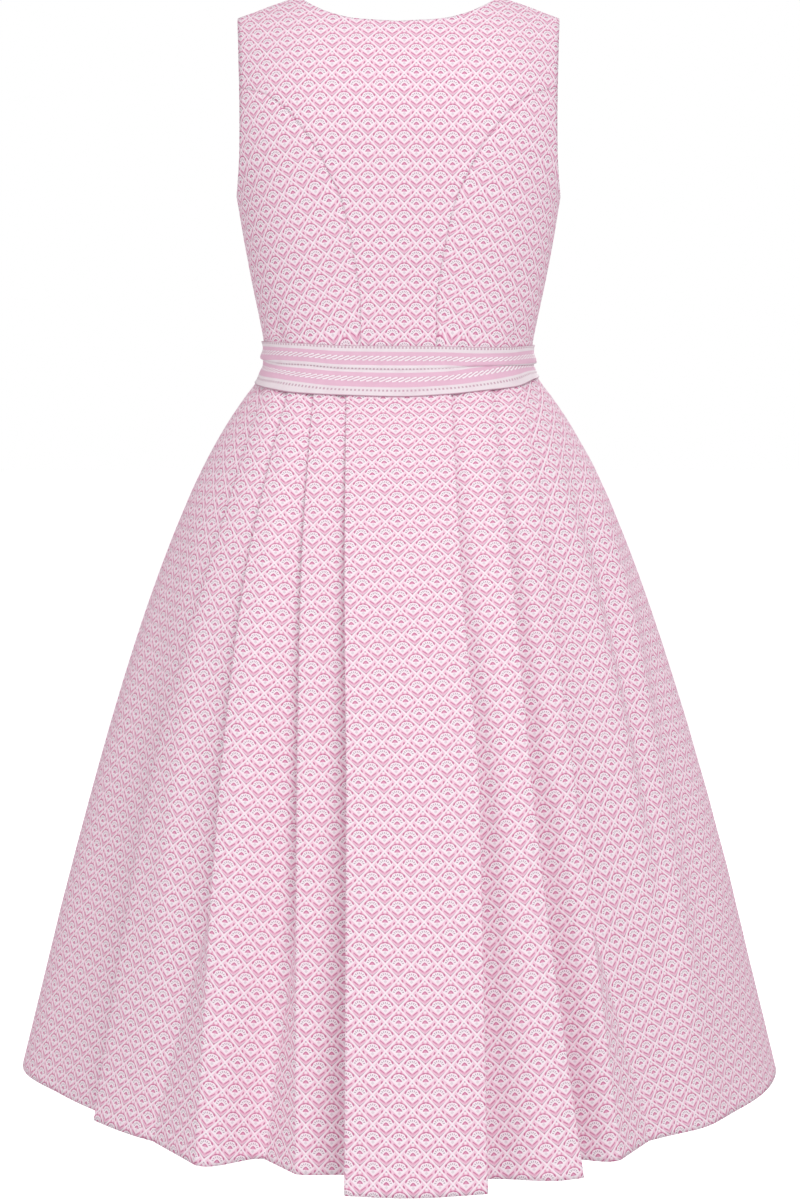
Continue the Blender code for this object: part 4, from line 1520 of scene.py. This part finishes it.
class DIRNDL_OT_sash(bpy.types.Operator):
    """Make the ribbon round the waist with its tucks at the sides"""

    bl_idname = "dirndl.sash"
    bl_label = "Sash"

    def execute(self, context):
        columns = []
        for n in range(SASH_COLUMNS + 1):
            around = -180.0 + 360.0 * n / SASH_COLUMNS
            band = Ribbon(around, *(lookup(SASH, around, name) for name in Ribbon._fields[1:]))
            side = -1 if abs(around) <= 90 else 1
            degrees = around if side < 0 else math.copysign(180 - abs(around), around)
            places = []
            for z, v, lift in sash_profile(band):
                out = SASH_OUT + lift + sash_relief(around, v)
                places.append((tuple(Section(side, z).point(degrees, out)), v))
            columns.append(places)
        points = np.array([[place for place, _ in column] for column in columns]).transpose(1, 0, 2)
        v = np.array([[v for _, v in column] for column in columns]).T
        middle = points[len(points) // 2]
        run = np.concatenate([[0.0], np.cumsum(np.linalg.norm(np.diff(middle, axis=0), axis=1))])
        u = np.tile(run, (len(points), 1))
        thickness = bpy.context.scene.dirndl_ribbon.thickness
        sash = cloth_piece(
            "dirndl_sash", points, grid_uv(u, v), [finished("ribbon_weave")], thickness, False
        )
        weld(sash.data, False)
        dress_node(sash, "sash")
        return {"FINISHED"}


def front_level(section, x):
    """Angle and height of the centre-front panel at a width."""
    degrees = section.angle(x)
    out = FRONT_PLEATS[2].out_hem * section.opened ** OUT_POWER
    relief = skirt_relief(section, degrees, x, FRONT_WAVES, FRONT_SKIRT_CREASES, FRONT_SKIRT_SEED)
    return degrees, out + relief


TAIL_ROWS = 70
TAIL_COLUMNS = 15
TAIL_LIFT = 1.6
TAIL_TUCKED = 4.0
TAIL_SPREAD = 90.0
TAIL_FOLD = 1.4
TAIL_WAVE = 1.1


def tail_piece(name, sign, end):
    """Tail of the ribbon, which lies on the centre-front panel in a soft wave."""
    rows, v_rows, down = [], [], []
    run, last = 0.0, None
    for share in stations(TAIL_ROWS):
        z = TAILS[0].z + TAIL_TUCKED + (end - TAILS[0].z - TAIL_TUCKED) * share
        inner, outer = lookup(TAILS, z, "inner"), lookup(TAILS, z, "outer")
        section = Section(1, z)
        row, v_row = [], []
        for across in stations(TAIL_COLUMNS):
            x = sign * (inner + (outer - inner) * across)
            degrees, height = front_level(section, x)
            gather = 1.0 - ease((TAILS[0].z - z) / TAIL_SPREAD)
            fold = gather * TAIL_FOLD * math.cos(across * 3 * math.pi)
            wave = TAIL_WAVE * math.sin(share * 9.0 + across * 2.0 + sign) * ease(share * 3)
            out = height + CLOTH + TAIL_LIFT + abs(wave) + fold + 1.2 * gather
            row.append(tuple(section.point(degrees, out)))
            v_row.append(RIBBON_WIDTH * across)
        middle = Vector(row[TAIL_COLUMNS // 2])
        run += (middle - last).length if last is not None else 0.0
        last = middle
        rows.append(row)
        v_rows.append(v_row)
        down.append([run] * TAIL_COLUMNS)
    points = np.array(rows)
    uv = grid_uv(np.array(down), np.array(v_rows))
    thickness = bpy.context.scene.dirndl_ribbon.thickness
    return cloth_piece(name, points, uv, [finished("ribbon_weave")], thickness, sign > 0)


KNOT_WIDE = 34.0
KNOT_TALL = 47.0
KNOT_THICK = 15.0
KNOT_TOP_Z = -341.0
KNOT_RINGS = 36
KNOT_SIDES = 48
KNOT_SQUARE = 0.72
KNOT_CREASE = 0.6
KNOT_RIBBON_START = 60.0


def knot_piece():
    """Knot: a band of ribbon wrapped over the sash, plump and creased along its length."""
    low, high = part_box("sash_knot")
    centre = (Vector(low) + Vector(high)) / 2 / MM
    tilt = Section(1, KNOT_TOP_Z).point(0, 0) - Section(1, KNOT_TOP_Z - KNOT_TALL).point(0, 0)
    tilt.normalize()
    outward = Vector((0.0, tilt.z, -tilt.y))
    rows, across, down = [], [], []
    for ring in stations(KNOT_RINGS, -1.0, 1.0):
        round_end = (1 - abs(ring) ** 3.2) ** (1 / 2.4)
        row, u_row, v_row = [], [], []
        for n in range(KNOT_SIDES + 1):
            angle = 2 * math.pi * n / KNOT_SIDES
            wide = KNOT_WIDE / 2 * (0.86 + 0.14 * abs(ring) ** 2) * (0.35 + 0.65 * round_end)
            thick = KNOT_THICK / 2 * (0.3 + 0.7 * round_end)
            cosine, sine = math.cos(angle), math.sin(angle)
            x = wide * math.copysign(abs(cosine) ** KNOT_SQUARE, cosine)
            y = thick * math.copysign(abs(sine) ** KNOT_SQUARE, sine)
            crease = KNOT_CREASE * math.cos(x / 2.6 + 0.7 * ring) * max(sine, 0.0)
            y += crease * round_end
            place = centre + Vector((x, 0, 0)) + outward * y + tilt * (ring * KNOT_TALL / 2)
            row.append(tuple(place))
            u_row.append(ring * KNOT_TALL / 2 + KNOT_RIBBON_START)
            v_row.append(RIBBON_WIDTH * (0.5 - x / KNOT_WIDE * 0.9))
        rows.append(row)
        across.append(u_row)
        down.append(v_row)
    name = "dirndl_sash_knot"
    mesh = grid_mesh(name, np.array(rows), grid_uv(np.array(across), np.array(down)), False)
    knot = piece(name, mesh, [finished("ribbon_weave")])
    weld(mesh, True)
    return knot


class DIRNDL_OT_knot(bpy.types.Operator):
    """Make the knot and the two tails at the centre front"""

    bl_idname = "dirndl.knot"
    bl_label = "Knot and tails"

    def execute(self, context):
        knot = dress_node(knot_piece(), "sash_knot")
        for word, sign, end in (("left", -1, TAIL_END_LEFT), ("right", 1, TAIL_END_RIGHT)):
            tail = tail_piece("dirndl_sash_tail_" + word, sign, end)
            dress_node(tail, "sash_tail_" + word)
        return {"FINISHED"}


# ------------------------------------------------------------------ buttons

BUTTON_RINGS = 10
BUTTON_SIDES = 36
GATHERS = 12
GATHER_SHARE = 0.012


def button_mesh(radius, dome):
    """Covered button: a domed disc with a turned rim and faint gathers at its edge."""
    rows = []
    for ring in range(BUTTON_RINGS + 1):
        share = ring / BUTTON_RINGS
        angle = share * math.pi / 2
        rows.append((radius * math.sin(angle), dome * (0.25 + 0.75 * math.cos(angle))))
    rows.append((radius, dome * 0.12))
    rows.append((radius * 0.93, 0.0))
    shape = bmesh.new()
    rings = []
    for reach, height in rows[1:]:
        ring = []
        for n in range(BUTTON_SIDES):
            turn = 2 * math.pi * n / BUTTON_SIDES
            gather = 1.0 + GATHER_SHARE * math.sin(GATHERS * turn) * (reach / radius) ** 4
            out = reach * gather
            ring.append(shape.verts.new((out * math.cos(turn), out * math.sin(turn), height)))
        rings.append(ring)
    top = shape.verts.new((0.0, 0.0, rows[0][1]))
    for n in range(BUTTON_SIDES):
        shape.faces.new((top, rings[0][n], rings[0][(n + 1) % BUTTON_SIDES]))
    for inner, outer in zip(rings, rings[1:]):
        for n in range(BUTTON_SIDES):
            after = (n + 1) % BUTTON_SIDES
            shape.faces.new((inner[n], outer[n], outer[after], inner[after]))
    shape.faces.new(rings[-1][::-1])
    mesh = bpy.data.meshes.new("dirndl_button")
    bmesh.ops.recalc_face_normals(shape, faces=shape.faces)
    shape.to_mesh(mesh)
    shape.free()
    return mesh


def front_seat(height):
    """Place and outward direction on the centre line of the right front."""
    seat = torso(1, 0.0, height)
    slope = torso(1, 0.0, height + 2) - torso(1, 0.0, height - 2)
    outward = Vector((0.0, slope.z, -slope.y)).normalized()
    return seat, outward


class DIRNDL_OT_buttons(bpy.types.Operator):
    """Make the covered buttons and their buttonholes"""

    bl_idname = "dirndl.buttons"
    bl_label = "Buttons"

    def execute(self, context):
        settings = context.scene.dirndl_buttons
        for number in range(BUTTON_COUNT):
            seat, outward = front_seat(BUTTON_TOP_Z - number * BUTTON_STEP)
            mesh = button_mesh(settings.radius, settings.dome)
            mesh.transform(outward.to_track_quat("Z", "Y").to_matrix().to_4x4())
            place = (seat + outward * (CLOTH / 2 + BUTTON_SEAT)) * MM
            for vertex in mesh.vertices:
                vertex.co += place
            button = piece("dirndl_button_%d" % (number + 1), mesh, [finished("covered_cloth")])
            dress_node(button, "button_%d" % (number + 1))
        holes = stitched_holes()
        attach(holes, "root")
        return {"FINISHED"}


HOLE_LENGTH = 15.0
HOLE_START = -6.5
HOLE_HALF = 0.2
STITCH_REACH = 1.3
STITCH_STEP = 0.45
STITCH_RADIUS = 0.2
THREAD_SIDES = 6
EDGE_STITCH = 2.7
EDGE_STEP = 3.6
EDGE_INSET = 2.2
EDGE_START = 20.0
EDGE_LEFT_OUT = 24.0


def add_thread(shape, start, end, outward, radius):
    """One short stitch: a bowed thread."""
    run = end - start
    side = run.cross(outward).normalized()
    rings = []
    for share in (0.0, 0.25, 0.5, 0.75, 1.0):
        bow = math.sin(math.pi * share)
        centre = start + run * share + outward * (radius * 1.4 * bow)
        size = radius * (0.45 + 0.55 * bow)
        ring = []
        for n in range(THREAD_SIDES):
            turn = 2 * math.pi * n / THREAD_SIDES
            place = centre + side * size * math.cos(turn) + outward * size * math.sin(turn)
            ring.append(shape.verts.new(place * MM))
        rings.append(ring)
    for before, after in zip(rings, rings[1:]):
        for n in range(THREAD_SIDES):
            following = (n + 1) % THREAD_SIDES
            shape.faces.new((before[n], before[following], after[following], after[n]))
    shape.faces.new(rings[0][::-1])
    shape.faces.new(rings[-1])


def front_surface(x, z):
    """Outer face of the right front and its direction."""
    place = torso(1, x, z)
    across = torso(1, x + 1, z) - torso(1, x - 1, z)
    up = torso(1, x, z + 1) - torso(1, x, z - 1)
    outward = up.cross(across).normalized()
    if outward.y < 0:
        outward = -outward
    return place + outward * (CLOTH / 2), outward


def stitched_holes():
    """Buttonholes in close stitch and the stitched edge of the lap."""
    shape = bmesh.new()
    for number in range(BUTTON_COUNT):
        z = BUTTON_TOP_Z - number * BUTTON_STEP
        steps = int(HOLE_LENGTH / STITCH_STEP)
        for n in range(steps):
            x = HOLE_START + HOLE_LENGTH * n / steps
            for side in (-1, 1):
                near, outward = front_surface(x, z + side * HOLE_HALF)
                far, _ = front_surface(x, z + side * STITCH_REACH)
                add_thread(shape, near, far, outward, STITCH_RADIUS)
    count = int((FRONT_NECKLINE[0].z - WAIST_Z - EDGE_LEFT_OUT) / EDGE_STEP)
    for n in range(count):
        z = WAIST_Z + EDGE_START + n * EDGE_STEP
        low, outward = front_surface(EDGE_INSET - LAP_HALF, z)
        high, _ = front_surface(EDGE_INSET - LAP_HALF, z + EDGE_STITCH)
        add_thread(shape, low, high, outward, STITCH_RADIUS)
    mesh = bpy.data.meshes.new("dirndl_stitches")
    bmesh.ops.recalc_face_normals(shape, faces=shape.faces)
    shape.to_mesh(mesh)
    shape.free()
    return piece("dirndl_stitches", mesh, [finished("sewing_thread")])


# ------------------------------------------------------------------ stage

def area_light(lamp, power):
    """Large soft light that looks at the dirndl."""
    light = bpy.data.lights.new(lamp.name, "AREA")
    light.shape = "SQUARE"
    light.size = lamp.size
    light.energy = power
    thing = bpy.data.objects.new(lamp.name, light)
    thing.location = lamp.place
    way = Vector(LIGHT_TARGET) - Vector(lamp.place)
    thing.rotation_euler = way.to_track_quat("-Z", "Y").to_euler()
    bpy.context.scene.collection.objects.link(thing)


class DIRNDL_OT_stage(bpy.types.Operator):
    """Make the pale floor, the studio light and the camera"""

    bl_idname = "dirndl.stage"
    bl_label = "Stage"

    def execute(self, context):
        settings = context.scene.dirndl_stage
        mesh = bpy.data.meshes.new("dirndl_floor")
        shape = bmesh.new()
        bmesh.ops.create_circle(shape, cap_ends=True, segments=96, radius=FLOOR_RADIUS)
        shape.to_mesh(mesh)
        shape.free()
        floor = piece("dirndl_floor", mesh, [studio_paper("studio_paper", settings.floor)])
        floor.location.z = FLOOR_Z
        floor.visible_diffuse = False
        for lamp in LAMPS:
            area_light(lamp, getattr(settings, lamp.name))
        world = bpy.data.worlds.new("studio")
        world.use_nodes = True
        background = world.node_tree.nodes["Background"]
        tree = world.node_tree
        seen = Term(tree, tree.nodes.new("ShaderNodeLightPath").outputs["Is Camera Ray"])
        colour = painted(tree, settings.air, (1.0, 1.0, 1.0), seen)
        tree.links.new(colour, background.inputs["Color"])
        strength = seen * (1.0 - settings.daylight) + settings.daylight
        tree.links.new(strength.socket, background.inputs["Strength"])
        context.scene.world = world
        context.scene.view_settings.view_transform = "Standard"
        camera = bpy.data.cameras.new("camera")
        camera.lens = CAMERA_LENS
        camera.sensor_width = CAMERA_SENSOR
        camera.sensor_fit = "AUTO"
        view = bpy.data.objects.new("camera", camera)
        view.location = CAMERA_PLACE
        view.rotation_euler = (math.radians(90 - CAMERA_PITCH), 0.0, 0.0)
        context.scene.collection.objects.link(view)
        context.scene.camera = view
        return {"FINISHED"}


class DIRNDL_PT_panel(bpy.types.Panel):
    """Steps that make the dirndl"""

    bl_idname = "DIRNDL_PT_panel"
    bl_label = "Dirndl"
    bl_space_type = "VIEW_3D"
    bl_region_type = "UI"
    bl_category = "Dirndl"

    def draw(self, context):
        for step in STEPS:
            self.layout.operator(step.bl_idname)
        for name, group in SETTINGS.items():
            box = self.layout.box()
            for key in group.__annotations__:
                box.prop(getattr(context.scene, name), key)


STEPS = (
    DIRNDL_OT_bodice,
    DIRNDL_OT_skirt,
    DIRNDL_OT_sash,
    DIRNDL_OT_knot,
    DIRNDL_OT_buttons,
    DIRNDL_OT_stage,
)


def register():
    """Make the settings, the steps and the panel known to Blender."""
    for group in tuple(SETTINGS.values()) + STEPS + (DIRNDL_PT_panel,):
        bpy.utils.register_class(group)
    for name, group in SETTINGS.items():
        setattr(bpy.types.Scene, name, bpy.props.PointerProperty(type=group))


def unregister():
    """Take them all away again."""
    for name in SETTINGS:
        delattr(bpy.types.Scene, name)
    for group in (DIRNDL_PT_panel,) + STEPS[::-1] + tuple(SETTINGS.values()):
        bpy.utils.unregister_class(group)


def main():
    """Make the dirndl in its studio."""
    register()
    if "dirndl" not in bpy.data.collections:
        bpy.context.scene.collection.children.link(bpy.data.collections.new("dirndl"))
    bpy.ops.dirndl.bodice()
    bpy.ops.dirndl.skirt()
    bpy.ops.dirndl.sash()
    bpy.ops.dirndl.knot()
    bpy.ops.dirndl.buttons()
    bpy.ops.dirndl.stage()


if __name__ == "__main__":
    main()
